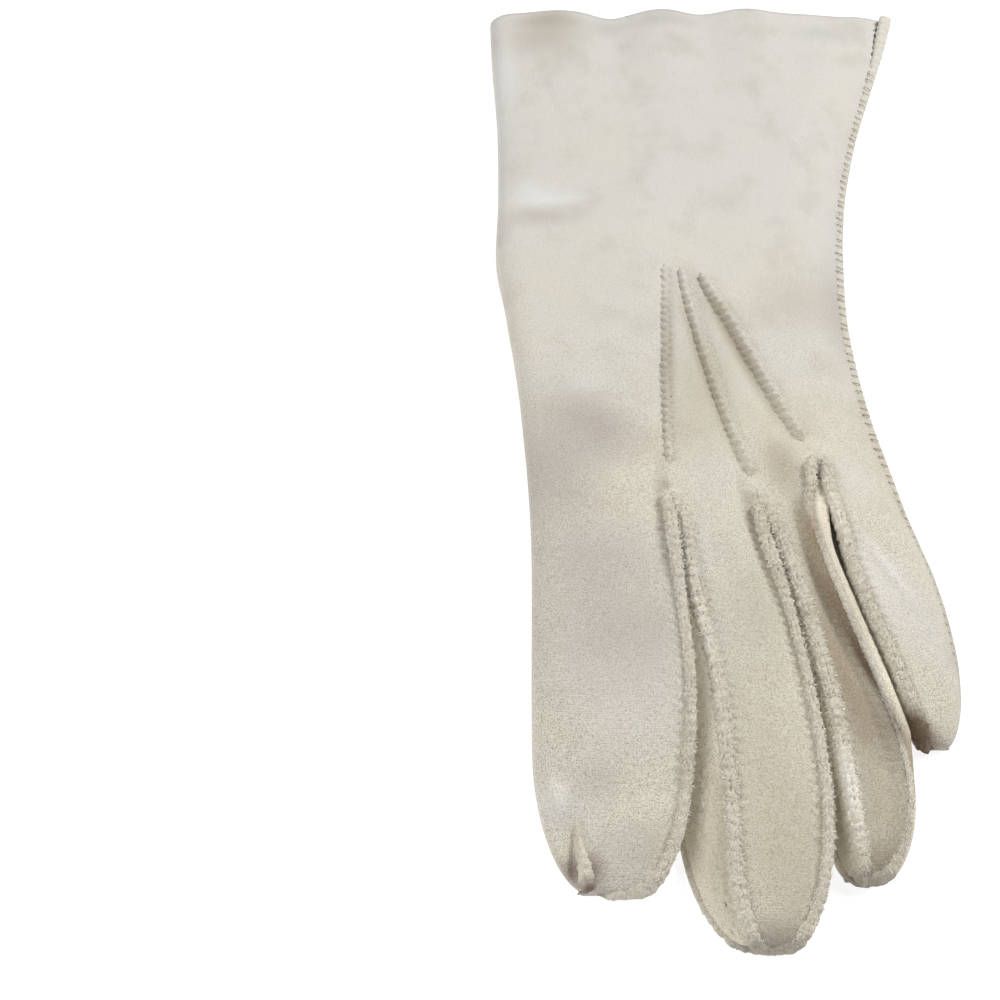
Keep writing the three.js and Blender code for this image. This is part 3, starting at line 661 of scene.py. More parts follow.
def build_fourchette(spec, material):
    left = FINGERS[spec.first]
    right = FINGERS[spec.first + 1]
    leg_a = wall_leg(left, 1, spec.bend, spec.roll[0], spec.root_roll, WALL.fullness[0])
    leg_b = wall_leg(right, 0, spec.bend, spec.roll[1], spec.roll[1], WALL.fullness[1])
    half = abs(leg_b[0][0, 0] - leg_a[0][0, 0]) / 2
    bend = []
    for i in range(1, WALL.bend_steps):
        turn = math.pi * i / WALL.bend_steps
        row = mix(leg_a[0], leg_b[0], (1 - math.cos(turn)) / 2)
        row[:, 1] += math.sin(turn) * half
        bend.append(row)
    grid = np.concatenate([leg_a[::-1], np.array(bend), leg_b], 0)
    rough = np.array([noise.noise(Vector(point) * WALL.rough_scale) for point in grid.reshape(-1, 3)])
    weights = smooth_step(*WALL.rough_columns, np.arange(grid.shape[1]))
    grid[..., 2] += WALL.rough * weights[None, :] * rough.reshape(grid.shape[:2])
    piece = thick_cloth(spec.name + "_cloth", [(grid, False, None)], material, WALL.cloth)
    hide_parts(spec.name)


# Sections of the seams and of the raised points: across and up from the line that they follow
LEAVES = [
    (-1.2, -1.4), (-1.28, -0.6), (-1.3, 0.1), (-1.26, 0.6), (-1.2, 1.05), (-1.08, 1.45), (-0.9, 1.75),
    (-0.66, 1.92), (-0.4, 1.95), (-0.16, 1.85), (0.08, 1.83), (0.32, 1.94), (0.58, 1.96), (0.84, 1.8),
    (1.04, 1.5), (1.18, 1.1), (1.26, 0.6), (1.3, 0.1), (1.28, -0.6), (1.2, -1.4),
]
PALM_LEAVES = [
    (-0.9, 0.3), (0.2, 0.75), (0.8, 0.7), (1.25, 0.45), (1.4, 0.1), (1.25, -0.35), (0.8, -0.5), (-0.9, -0.45),
]
OUTER_ROLL = [
    (-1.0, 0.5), (-0.8, 0.85), (-0.4, 0.95), (0.0, 0.85), (0.35, 0.95), (0.75, 0.85), (1.0, 0.5), (1.1, 0.1),
    (1.05, -0.3), (0.8, -0.6),
]
CORD = [
    (-1.3, -0.6), (-1.15, 0.0), (-0.98, 0.5), (-0.62, 0.92), (-0.2, 1.08), (0.2, 1.08), (0.62, 0.92),
    (0.98, 0.5), (1.15, 0.0), (1.3, -0.6),
]
PINTUCK = [
    (-2.3, -0.6), (-1.9, -0.15), (-1.5, 0.1), (-1.1, 0.45), (-0.6, 0.95), (-0.1, 1.4), (0.35, 1.62),
    (0.8, 1.5), (1.35, 1.1), (1.9, 0.65), (2.5, 0.25), (3.2, -0.2),
]
TUCK = [
    (-1.1, -0.9), (-0.95, -0.3), (-0.75, 0.3), (-0.6, 0.8), (-0.35, 1.12), (0.05, 1.2), (0.45, 1.05),
    (0.9, 0.7), (1.4, 0.3), (2.0, -0.1), (2.8, -0.6),
]

# Points of one overcast stitch: across and up from the seam's line, and along it
STITCH = [(-1.5, 0.15, -0.3), (-1.25, 0.8, -0.15), (-0.75, 1.4, 0.05), (0.1, 1.52, 0.2), (0.7, 1.3, 0.35)]
THREAD = Named(radius=0.12, end=0.55, sides=5, floor=0.1, uneven=0.2)

# What a band is where its own form doesn't say: roughness, pitch and pinch of its stitches, length of its
# rows, lengths over which its ends fade in, and slant of its stitches
BAND = {"rough": 0.22, "pitch": STITCH_PITCH, "pinch": 0.3, "step": 0.34, "fade": (0, 0), "slant": 0.0}
# How a band is pinched by its stitches, roughened and faded out, and how its stitches wander
PINCH = Named(half=0.42, across=0.7, up=0.9, leaned=0.5)
FUZZ = [(0.9, 1.0), (0.9, 2.5), (0.5, 5.0)]
FUZZ_STRETCH = 3
WANDER = Named(amount=0.3, per_mm=0.35, row=7.1, per_point=0.37)
FADE_FROM = 0.15
BAND_FLOOR = 0.05
FIBRES = Named(per_mm=60, up=(0.9, 1.95), reach=0.26, outward=0.25, rise=0.3, half=0.08)

# The raw edges of the finger seams, the outer seam, the dart's tuck and the seams on the palm side
RAW_EDGE = {
    "section": LEAVES, "lean": 62, "rough": 0.5, "step": 0.24, "rows": 120, "tip_rows": 60, "tip_short": 0.3,
    "apart_rows": (4, 16), "draw_y": -56, "draw_half": 10, "arch": 12, "arch_rise": 1.3, "thins_over": 16,
    "thick_rows": (-46, -62), "tip_size": 0.85, "tip_beside": 0.9, "tip_on": 0.1, "crest": 1.25,
}
OUTER = {
    "section": OUTER_ROLL, "rows": 260, "tip_rows": 50, "tip_short": 0.3, "cuff_short": 0.2, "inside": 0.7,
    "down": 0.8, "down_rows": (88, 112), "grow": 0.6, "grow_rows": (92, 114), "shrink": 0.3, "rough": 0.2,
    "pinch": 0.2, "pitch": 2.2, "fade": (3, 0),
}
OUTER_STITCHES = {"top": 97, "size": 1.15, "pitch": 2.15, "deep": 0.68, "slant": -2.6}
DART_TUCK = {
    "section": TUCK, "bottom": -111.6, "top": -97.2, "bottom_x": -37.4, "top_x": -39.9, "rows": 60,
    "width": 26, "rise": 0.1, "size": (1.7, 0.9), "pinch": 0.15, "fade": (0.8, 10),
}
PALM_SEAM = {
    "section": PALM_LEAVES, "below_crotch": 1, "rows": 90, "tip_rows": 40, "tip_short": 0.4, "rise": 0.55,
    "rough": 0.16, "pitch": 2.2, "step": 0.45, "fibre_size": 0.5, "crest": 1.0,
}
# The points: how far each runs, its size, and how far right of the line it lies
POINT_LINES = rows_of(["name", "column", "top", "bottom", "size", "shift", "section"], [
    ("point_first", "first", 24.5, -29.5, 1.1, 0.7, CORD),
    ("point_middle", "second", 24.5, -29.5, 1.0, 0.6, PINTUCK),
    ("point_third", "third", 24.5, -21, 1.1, 0.8, PINTUCK),
])
POINT = {"rows": 160, "down": 0.1, "rough": 0.3, "pinch": 0.55, "fade": (2, 2), "slant": 0.34}


def fuzz(place):
    """Roughness of a raw edge, in three sizes."""
    return sum(amount * noise.noise(place * scale) for amount, scale in FUZZ)


def beside_seam(band, k, across, up, floor=None):
    """A place across and up from a seam's line, leaned as the seam is there."""
    lean = band["tilts"][k]
    out = band["out"][k] * (across * math.cos(lean) + up * math.sin(lean))
    x, y, z = band["points"][k]
    z += up * math.cos(lean) - across * math.sin(lean)
    return np.array([x + out[0], y + out[1], z if floor is None else max(z, floor)])


def seam_band(name, path, material, form, tilt=0.0, size=1.0):
    """A band that follows a seam: its section stands on the path, pinched in by every stitch."""
    form = {**BAND, **form}
    points, along = resample(path, form["step"])
    points = smoothed(points, 4)
    ahead = np.gradient(points, axis=0)[:, :2]
    ahead = ahead / np.maximum(np.linalg.norm(ahead, axis=1, keepdims=True), 1e-9)
    given = lengths_along(path)
    band = {
        "points": points, "along": along, "out": smoothed(np.stack([ahead[:, 1], -ahead[:, 0]], 1), 3),
        "tilts": np.interp(along, given, np.broadcast_to(tilt, len(path))),
        "sizes": np.interp(along, given, np.broadcast_to(size, len(path))),
    }
    scales = band["sizes"].copy()
    for distance, length in zip((along, along[-1] - along), form["fade"]):
        if length:
            scales *= np.minimum(1, FADE_FROM + distance / length)
    rows = []
    for k, point in enumerate(points):
        place = Vector((along[k] * WANDER.per_mm, WANDER.row, len(points) * WANDER.per_point))
        wander = WANDER.amount * noise.noise(place)
        upright = 1 - PINCH.leaned * min(abs(band["tilts"][k]), 1)
        row = []
        for across, up in form["section"]:
            phase = (along[k] / form["pitch"] + wander + form["slant"] * across) % 1
            away = (phase - 0.5) * form["pitch"]
            stitch = form["pinch"] * upright * math.exp(-(away / PINCH.half) ** 2)
            raised = up > 0
            a = across * (1 - stitch * PINCH.across) * scales[k]
            b = (up - (stitch * PINCH.up if raised else 0)) * scales[k]
            place = Vector((point[0] + a * FUZZ_STRETCH, point[1], point[2] + b * FUZZ_STRETCH + across))
            ruffle = form["rough"] * fuzz(place) * scales[k] * upright / (math.hypot(a, b) or 1)
            a += ruffle * a
            b += ruffle * b if raised else 0
            row.append(beside_seam(band, k, a, b, BAND_FLOOR))
        rows.append(row)
    merged, triangles = welded([(np.array(rows), False, None)])
    piece = make_object(name, merged, triangles.tolist(), material)
    return band


def fibre_tufts(name, bands, material):
    """Loose fibres on the raw edges, as thin slips that taper to a point."""
    points = []
    for band in bands:
        for _ in range(int(band["along"][-1] * FIBRES.per_mm)):
            k = random.randrange(len(band["points"]))
            size = band["sizes"][k]
            across = random.uniform(-band["crest"], band["crest"]) * size
            up = random.uniform(*FIBRES.up) * size
            base = beside_seam(band, k, across, up)
            outward = band["out"][k] * across * FIBRES.outward
            reach = np.array([random.gauss(0, FIBRES.reach) + outward[0],
                              random.gauss(0, FIBRES.reach) + outward[1],
                              random.uniform(0.0, FIBRES.rise)])
            wide = np.cross(reach, [random.gauss(0, 1), random.gauss(0, 1), random.gauss(0, 1)])
            wide = wide / max(np.linalg.norm(wide), 1e-6) * FIBRES.half
            points += [base - wide, base + wide, base + reach]
    faces = np.arange(len(points)).reshape(-1, 3)
    piece = make_object(name, np.array(points), faces.tolist(), material)


def thread_rings(spine, side):
    """Rings of points round a piece of thread, which is thinner at its ends."""
    rings = []
    last = len(spine) - 1
    for i, centre in enumerate(spine):
        ahead = spine[min(i + 1, last)] - spine[max(i - 1, 0)]
        over = np.cross(ahead / max(np.linalg.norm(ahead), 1e-6), side)
        radius = THREAD.radius * (THREAD.end if i in (0, last) else 1)
        for j in range(THREAD.sides):
            turn = 2 * math.pi * j / THREAD.sides
            rings.append(centre + radius * (math.cos(turn) * side + math.sin(turn) * over))
    return rings


def tube_faces(start, rings):
    """Faces of a closed tube, whose rings of points begin at the number start."""
    sides = THREAD.sides
    faces = []
    for ring in range(start, start + (rings - 1) * sides, sides):
        for j in range(sides):
            ahead = (j + 1) % sides
            faces.append((ring + j, ring + ahead, ring + ahead + sides, ring + j + sides))
    faces.append(tuple(start + j for j in reversed(range(sides))))
    faces.append(tuple(start + sides * (rings - 1) + j for j in range(sides)))
    return faces


def overcast(name, bands, material):
    """Stitches of thread that wrap over a seam, one to each pitch."""
    points = []
    faces = []
    for band in bands:
        along = band["along"]
        for number in range(int(along[-1] / band["pitch"])):
            at = (number + 0.5 + random.uniform(-THREAD.uneven, THREAD.uneven)) * band["pitch"]
            k = min(max(int(np.searchsorted(along, at)), 1), len(along) - 2)
            side = np.array([-band["out"][k][1], band["out"][k][0], 0.0])
            size = band["sizes"][k]
            spine = [beside_seam(band, k, across * size, up * size * band["deep"], THREAD.floor)
                     + side * shift * band["slant"] for across, up, shift in STITCH]
            faces += tube_faces(len(points), len(spine))
            points += thread_rings(spine, side)
    piece = make_object(name, np.array(points), faces, material)


def seam_leg(finger, side, top_y):
    """The raw edge along one side of a finger, and how far it has turned down at the tip."""
    ys = rows_to_tip(finger, top_y, RAW_EDGE)
    x = edge_x(finger, side, "back", ys)
    return np.stack([x, ys, finger_height(finger, x, float(side), ys)], -1), 1 - height_share(finger, ys)


def v_path(spec):
    """The seam of a fourchette: from one fingertip up to the crotch and down to the next fingertip."""
    left = FINGERS[spec.first]
    right = FINGERS[spec.first + 1]
    a, down_a = seam_leg(left, 1, spec.seam_top)
    b, down_b = seam_leg(right, 0, spec.seam_top)
    for leg, push in ((a, -1), (b, 1)):
        ys = leg[:, 1]
        centre = (straight_line(left.sides[1], ys) + straight_line(right.sides[0], ys)) / 2
        short = np.maximum(0, spec.apart - push * (leg[:, 0] - centre))
        leg[:, 0] += push * short * (1 - smooth_step(*RAW_EDGE["apart_rows"], spec.seam_top - ys))
    b[:, 0] -= spec.drawn_in * bell(b[:, 1] - RAW_EDGE["draw_y"], RAW_EDGE["draw_half"])
    arch = []
    for t in np.linspace(0, 1, RAW_EDGE["arch"])[1:-1]:
        row = mix(a[0], b[0], (1 - math.cos(math.pi * t)) / 2)
        row[1] += math.sin(math.pi * t) * spec.apart * RAW_EDGE["arch_rise"]
        arch.append(row)
    tip_a = [[left.tip_x - spec.past_tip, left.tip_y + RAW_EDGE["tip_on"], SEAM_TOP]]
    tip_b = [[right.tip_x + RAW_EDGE["tip_beside"], right.tip_y + RAW_EDGE["tip_on"], SEAM_TOP]]
    path = np.concatenate([tip_a, a[::-1], arch, b, tip_b], 0)
    down = np.concatenate([[1.0], down_a[::-1], np.zeros(len(arch)), down_b, [1.0]])
    thin, thick = spec.edges
    thinned = smooth_step(spec.thin_from, spec.thin_from - RAW_EDGE["thins_over"], a[:, 1])
    size_a = mix(spec.top_size, thin, thinned)
    size_b = mix(spec.top_size, thick, smooth_step(*RAW_EDGE["thick_rows"], b[:, 1]))
    sizes = np.concatenate([[thin], size_a[::-1], np.full(len(arch), 1.0), size_b, [thick]])
    return path, down, mix(sizes, RAW_EDGE["tip_size"], down)


def build_finger_seams(material):
    bands = []
    for spec in FOURCHETTES:
        path, down, sizes = v_path(spec)
        bands.append(seam_band(
            spec.name.replace("fourchette", "seam"), path, material, {**RAW_EDGE, "fade": spec.fade},
            tilt=-down * math.radians(RAW_EDGE["lean"]), size=sizes))
    return bands


def build_outer_seam(material):
    """The rolled edge from the cuff to the tip of the little finger; returns the part with stitches."""
    little = FINGERS[3]
    ys = rows_to_tip(little, CUFF_Y - OUTER["cuff_short"], OUTER)
    x = np.where(ys > HAND_END, straight_line("seam", ys), edge_x(little, 1, "back", ys))
    z = SEAM_LEVEL + corner_lift(ys) - OUTER["down"] * smooth_step(*OUTER["down_rows"], ys)
    tip = [[little.tip_x, little.tip_y, SEAM_LEVEL]]
    path = np.concatenate([np.stack([x - OUTER["inside"], ys, z], -1), tip], 0)
    size = 1 + OUTER["grow"] * smooth_step(*OUTER["grow_rows"], path[:, 1])
    size = size - OUTER["shrink"] * smooth_step(*FLANGE_ROWS, path[:, 1])
    band = seam_band("seam_outer", path[::-1], material, OUTER, size=size[::-1])
    shown = int(np.sum(band["points"][:, 1] < OUTER_STITCHES["top"]))
    stitched = {key: values[:shown] for key, values in band.items()}
    stitched["sizes"] = stitched["sizes"] * OUTER_STITCHES["size"]
    return stitched


def build_dart(material):
    index = FINGERS[0]
    ys = np.linspace(DART_TUCK["bottom"], DART_TUCK["top"], DART_TUCK["rows"])
    x = mix(DART_TUCK["bottom_x"], DART_TUCK["top_x"], (ys - ys[0]) / (ys[-1] - ys[0]))
    share = clamp((x - edge_x(index, 0, "back", ys)) / DART_TUCK["width"], 0, 1)
    z = finger_height(index, x, share, ys) + DART_TUCK["rise"]
    size = np.linspace(*DART_TUCK["size"], len(ys))
    seam_band("dart_index", np.stack([x, ys, z], -1), material, DART_TUCK, size=size)


def build_palm_seam(spec, side, material):
    """The seam of a side wall with the palm."""
    finger = FINGERS[spec.first + (0 if side else 1)]
    ys = rows_to_tip(finger, PALM_CROTCH - PALM_SEAM["below_crotch"], PALM_SEAM)
    x = edge_x(finger, side, "palm", ys)
    tip = [[finger.tip_x, finger.tip_y, PALM_LEVEL + PALM_SEAM["rise"]]]
    path = np.concatenate([np.stack([x, ys, palm_height(x, ys) + PALM_SEAM["rise"]], -1), tip], 0)
    name = "seam_palm_" + finger.name + ("_right" if side else "_left")
    band = seam_band(name, path[::-1] if side else path, material, PALM_SEAM)
    return {**band, "sizes": band["sizes"] * PALM_SEAM["fibre_size"], "crest": PALM_SEAM["crest"]}


def build_points(material):
    for line in POINT_LINES:
        ys = np.linspace(line.top, line.bottom, POINT["rows"])
        x = value_at(HAND_LINES, line.column, ys) + line.shift
        z = back_height(x, ys) + CLOTH / 2 - POINT["down"]
        form = {**POINT, "section": line.section}
        seam_band(line.name, np.stack([x, ys, z], -1)[::-1], material, form, size=line.size)


# Soft patches of colour on the cloth: place, half lengths, turn in degrees, colour and strength. Most are
# painted shade and painted highlights. The dark ones in the cuff's troughs, in the dent and hollow by the
# thumb's hump, along the left of the points and the seams, in the crevices by the ring finger, at the
# fingertips and at the dart's end are painted shade. The light ones on the hump's rises, the creases, the
# fold's bump and the left edge are painted highlights. The broad ones on the cuff and over the fingers are
# stains, yellowing and uneven tone.
PATCH_COLUMNS = ["x", "y", "long", "wide", "turn", "colour", "amount"]
PATCH_STRENGTH = 1.1
STAINS_PAINTED_SHADE_AND_LIGHT = rows_of(PATCH_COLUMNS, [
    (-40.5, 106, 18, 12, 10, (0.44, 0.40, 0.33), 0.7),
    (-40, 112, 13, 5, 0, (0.36, 0.31, 0.24), 0.6),
    (-24, 111, 7, 5, 0, (0.42, 0.41, 0.38), 0.5),
    (-9, 112, 13, 5, 0, (0.42, 0.41, 0.38), 0.5),
    (36, 108, 16, 5, 0, (0.46, 0.45, 0.43), 0.5),
    (-41, 46.5, 14, 2.6, 2, (0.66, 0.66, 0.65), 0.45),
    (-43.5, 39, 15, 6, 4, (0.45, 0.41, 0.36), 0.6),
    (-36, -10, 9, 4.5, 14, (0.66, 0.65, 0.65), 0.45),
    (-33, -20, 17, 12, -35, (0.38, 0.33, 0.29), 0.7),
    (-34, -51, 20, 14, 20, (0.42, 0.39, 0.36), 0.7),
    (-31, -76, 15, 18, 0, (0.64, 0.61, 0.57), 0.6),
    (-28, -104.5, 17, 8, 10, (0.42, 0.38, 0.32), 0.5),
    (17, 17, 18, 13, 20, (0.47, 0.43, 0.38), 0.6),
    (-9, -8, 26, 14, 80, (0.48, 0.44, 0.34), 0.6),
    (21, -30, 11, 9, -60, (0.64, 0.60, 0.54), 0.5),
    (25, -51, 12, 1.6, -63, (0.70, 0.69, 0.67), 0.5),
    (17.3, -83, 13, 5.5, -66, (0.30, 0.25, 0.22), 0.7),
    (13, -72, 38, 10, -78, (0.30, 0.245, 0.16), 0.8),
    (13.6, -58, 17, 2.8, -70, (0.20, 0.13, 0.07), 0.75),
    (-16.6, -2, 29, 2.6, 85.5, (0.33, 0.28, 0.20), 0.5),
    (-8.3, -2, 31, 2.4, -78, (0.30, 0.25, 0.17), 0.5),
    (0.9, 1.6, 29, 2.6, -70, (0.28, 0.22, 0.14), 0.6),
    (25.6, -84.6, 10.5, 5.5, -40, (0.20, 0.145, 0.10), 1.0),
    (-42.6, -97, 7, 5, -30, (0.68, 0.665, 0.63), 0.55),
    (-3, -106, 20, 16, -84, (0.42, 0.37, 0.27), 0.5),
    (16, -98, 14, 12, -84, (0.40, 0.35, 0.26), 0.6),
    (-3, -92, 34, 14, -84, (0.44, 0.40, 0.30), 0.5),
    (-20.4, -42, 24, 2.6, 88, (0.36, 0.32, 0.26), 0.6),
    (-0.2, -44, 20, 2.8, -80, (0.33, 0.29, 0.23), 0.75),
    (4.6, -66, 18, 2.2, -78, (0.34, 0.29, 0.21), 0.75),
    (10.4, -44, 15, 3.6, -78, (0.27, 0.21, 0.12), 0.75),
    (16.7, -70, 16, 1.4, -73, (0.12, 0.08, 0.05), 1.0),
    (28, -61, 17, 9, -66, (0.62, 0.60, 0.56), 0.5),
    (-42, -30, 30, 15, 88, (0.40, 0.37, 0.33), 0.75),
    (-31, -66, 28, 19, 0, (0.42, 0.39, 0.345), 0.75),
    (-36, -94, 9, 6, 60, (0.42, 0.39, 0.35), 0.5),
    (-38.4, -108.2, 6, 4.4, 0, (0.25, 0.19, 0.15), 1.0),
    (-2.5, -60, 19, 10, -84, (0.45, 0.42, 0.34), 0.6),
    (6.8, -27, 12, 6, -66, (0.38, 0.33, 0.25), 0.75),
    (-5, -120, 14, 6, 0, (0.33, 0.29, 0.23), 0.8),
    (14.5, -107.6, 10, 7, 20, (0.30, 0.25, 0.19), 0.8),
    (26.2, 18, 24, 7, 87, (0.44, 0.41, 0.37), 0.6),
    (-52.2, 90, 30, 5, 90, (0.69, 0.68, 0.66), 0.5),
    (-45, 49, 13, 7, 0, (0.69, 0.68, 0.66), 0.4),
    (22.5, -53, 14, 6, -66, (0.69, 0.67, 0.63), 0.45),
])
# On the fourchettes, same columns. The dark rows are painted shade on the lower index–middle strip and near
# the middle, ring and little fingertips. The near-white row is a painted highlight on the index–middle strip
# where it lies in shadow. The first row darkens the tone of the ring–little roll.
WALL_PAINTED_SHADE_AND_LIGHT = rows_of(PATCH_COLUMNS, [
    (13, -50, 42, 9, -72, (0.56, 0.50, 0.40), 0.6),
    (-12.5, -109, 28, 14, -75, (0.55, 0.50, 0.385), 0.8),
    (-13.6, -71, 24, 4, -87, (1.0, 0.96, 0.84), 0.9),
    (9, -103, 20, 12, -75, (0.50, 0.46, 0.36), 0.9),
    (22, -88, 17, 7, -72, (0.36, 0.29, 0.20), 0.9),
])
# On the raw edges and loose fibres, same columns. The dark rows are painted shade: under the little
# fingertip, in the crevice by the ring finger, at the middle and ring fingertips, at the dart's end, and on
# the turned-up cuff corner, which lies in shade. The light rows are painted highlights on seam ridges that
# lie in shadow. The brown row at (12, -40) browns the ring's seam near its root.
EDGE_STAINS_PAINTED_SHADE_AND_LIGHT = rows_of(PATCH_COLUMNS, [
    (26.2, -85, 12, 6.5, -38, (0.17, 0.12, 0.08), 1.5),
    (10.3, -94, 14, 3, -80, (0.88, 0.84, 0.76), 0.7),
    (15.2, -37, 14, 3, -74, (0.84, 0.80, 0.72), 0.6),
    (-14.6, -71, 26, 3.2, -87, (0.84, 0.80, 0.72), 0.5),
    (35, 104, 18, 6, 75, (0.50, 0.48, 0.47), 0.8),
    (16.6, -71, 14, 1.6, -73, (0.14, 0.10, 0.07), 0.8),
    (-6, -121, 14, 3, 0, (0.34, 0.30, 0.25), 0.7),
    (13, -110, 12, 3, 0, (0.30, 0.26, 0.21), 0.7),
    (12, -40, 16, 3.5, 85, (0.38, 0.28, 0.18), 0.5),
    (-37.2, -111.5, 4.2, 3.2, 0, (0.16, 0.10, 0.07), 0.9),
])
# Patterns of the cloth, in repeats per metre, and the colours and shares of its dark and light specks
BROAD = 38.0
CLOUDS = 95.0
RUMPLE = 260.0
WEAVE = 740.0
NAP = 3300.0
PEPPER = (0.20, 0.17, 0.13)
UNDER_PATCHES = Named(pepper=0.7, salt=0.7, light=(0.80, 0.78, 0.74))
OVER_PATCHES = Named(pepper=0.55, salt=0.4, light=(0.74, 0.71, 0.66))
PATCH_LEVEL = 0.008
RELIEF = Named(rumple=0.5, strength=0.5, depth=0.0004)


def new_material(name):
    material = bpy.data.materials.new(name)
    material.use_nodes = True
    material.node_tree.nodes.clear()
    return material, material.node_tree


def plugged(tree, value, socket):
    """Gives a socket its value, which is a number, a colour or another node's output."""
    if hasattr(value, "links"):
        tree.links.new(value, socket)
    else:
        socket.default_value = (*value, 1) if isinstance(value, tuple) else value


def mixed(tree, factor, one, two):
    node = tree.nodes.new("ShaderNodeMix")
    node.data_type = "RGBA"
    for key, value in (("Factor", factor), ("A", one), ("B", two)):
        plugged(tree, value, node.inputs[key])
    return node.outputs["Result"]


def mathed(tree, operation, one, two, clamped=False):
    node = tree.nodes.new("ShaderNodeMath")
    node.operation = operation
    node.use_clamp = clamped
    plugged(tree, one, node.inputs[0])
    plugged(tree, two, node.inputs[1])
    return node.outputs[0]


def ranged(tree, value, low, high, to_low=0.0, to_high=1.0):
    node = tree.nodes.new("ShaderNodeMapRange")
    ends = (("From Min", low), ("From Max", high), ("To Min", to_low), ("To Max", to_high))
    for key, number in (("Value", value), *ends):
        plugged(tree, number, node.inputs[key])
    return node.outputs["Result"]


def noised(tree, place, scale, detail=3.0, roughness=0.55):
    node = tree.nodes.new("ShaderNodeTexNoise")
    for key, value in (("Vector", place), ("Scale", scale), ("Detail", detail), ("Roughness", roughness)):
        plugged(tree, value, node.inputs[key])
    return node.outputs["Fac"]


def speckled(tree, colour, pepper, salt, specks):
    """Dark and light specks of the nap over a colour."""
    dark = mathed(tree, "MULTIPLY", pepper, specks.pepper)
    light = mathed(tree, "MULTIPLY", salt, specks.salt)
    return mixed(tree, light, mixed(tree, dark, colour, PEPPER), specks.light)


def blotched(tree, place, colour, patch):
    """One soft patch over a colour; the tables' patches are stains, painted shade and painted highlights."""
    mapping = tree.nodes.new("ShaderNodeMapping")
    mapping.vector_type = "TEXTURE"
    tree.links.new(place, mapping.inputs["Vector"])
    mapping.inputs["Location"].default_value = (
        (patch.x + SHIFT[0]) * MM, (patch.y + SHIFT[1]) * MM, PATCH_LEVEL)
    mapping.inputs["Rotation"].default_value = (0, 0, math.radians(patch.turn))
    mapping.inputs["Scale"].default_value = (patch.long * MM, patch.wide * MM, 1.0)
    ball = tree.nodes.new("ShaderNodeTexGradient")
    ball.gradient_type = "SPHERICAL"
    tree.links.new(mapping.outputs[0], ball.inputs[0])
    amount = ranged(tree, ball.outputs["Fac"], 0.0, 1.0, 0.0, patch.amount * PATCH_STRENGTH)
    amount.node.interpolation_type = "SMOOTHSTEP"
    return mixed(tree, amount, colour, patch.colour)


def woven(tree, place):
    """The grid of warp and weft threads."""
    threads = []
    for direction in "XY":
        wave = tree.nodes.new("ShaderNodeTexWave")
        wave.bands_direction = direction
        for key, value in (("Vector", place), ("Scale", WEAVE), ("Distortion", 2.2), ("Detail", 1.0),
                           ("Detail Scale", 0.6)):
            plugged(tree, value, wave.inputs[key])
        threads.append(wave.outputs["Fac"])
    return mathed(tree, "MULTIPLY", *threads)


def suede_cloth(name, cool, warm, dark, weave, nap, grainy, patches=()):
    """Brushed woven cotton: weave grid, short nap, uneven yellowing and soft patches, which are stains,
    painted shade and painted highlights.
    """
    material, tree = new_material(name)
    place = tree.nodes.new("ShaderNodeTexCoord").outputs["Object"]
    parts = tree.nodes.new("ShaderNodeSeparateXYZ")
    tree.links.new(place, parts.inputs[0])
    y = parts.outputs["Y"]
    broad = ranged(tree, noised(tree, place, BROAD, 2.0), 0.3, 0.7, -0.35, 0.35)
    uneven = mathed(tree, "ADD", ranged(tree, y, 0.06, -0.04), broad, True)
    cloudy = ranged(tree, noised(tree, place, CLOUDS, 4.0), 0.5, 0.75, 0.0, 0.35)
    colour = mixed(tree, cloudy, mixed(tree, uneven, cool, warm), dark)
    fine = noised(tree, place, NAP, 2.0, 0.7)
    strength = ranged(tree, y, 0.04, -0.05, 0.12, grainy)
    pepper = mathed(tree, "MULTIPLY", ranged(tree, fine, 0.5, 0.72), strength)
    salt = mathed(tree, "MULTIPLY", ranged(tree, fine, 0.5, 0.28), strength)
    colour = speckled(tree, colour, pepper, salt, UNDER_PATCHES)
    for patch in patches:
        colour = blotched(tree, place, colour, patch)
    colour = speckled(tree, colour, pepper, salt, OVER_PATCHES)
    relief = mathed(tree, "ADD", mathed(tree, "MULTIPLY", woven(tree, place), weave),
                    mathed(tree, "MULTIPLY", fine, nap))
    rumple = mathed(tree, "MULTIPLY", noised(tree, place, RUMPLE), RELIEF.rumple)
    bump = tree.nodes.new("ShaderNodeBump")
    bump.inputs["Strength"].default_value = RELIEF.strength
    bump.inputs["Distance"].default_value = RELIEF.depth
    tree.links.new(mathed(tree, "ADD", relief, rumple), bump.inputs["Height"])
    shader = tree.nodes.new("ShaderNodeBsdfPrincipled")
    for key, value in (("Base Color", colour), ("Normal", bump.outputs["Normal"]), ("Roughness", 0.95),
                       ("Specular IOR Level", 0.12), ("Sheen Weight", 0.12), ("Sheen Roughness", 0.5)):
        plugged(tree, value, shader.inputs[key])
    out = tree.nodes.new("ShaderNodeOutputMaterial")
    tree.links.new(shader.outputs[0], out.inputs["Surface"])
    return material


CREAM = {"cool": (0.575, 0.56, 0.52), "warm": (0.60, 0.56, 0.465), "dark": (0.40, 0.35, 0.27)}
# The fourchettes' cloth is painted much lighter than the back's. This is painted light for the deep, shadowed
# grooves that they lie in.
PALE_PAINTED_LIGHT = {"cool": (0.88, 0.82, 0.68), "warm": (0.88, 0.81, 0.66), "dark": (0.55, 0.46, 0.33)}
RAW = {"cool": (0.62, 0.59, 0.52), "warm": (0.62, 0.57, 0.47), "dark": (0.33, 0.27, 0.19)}
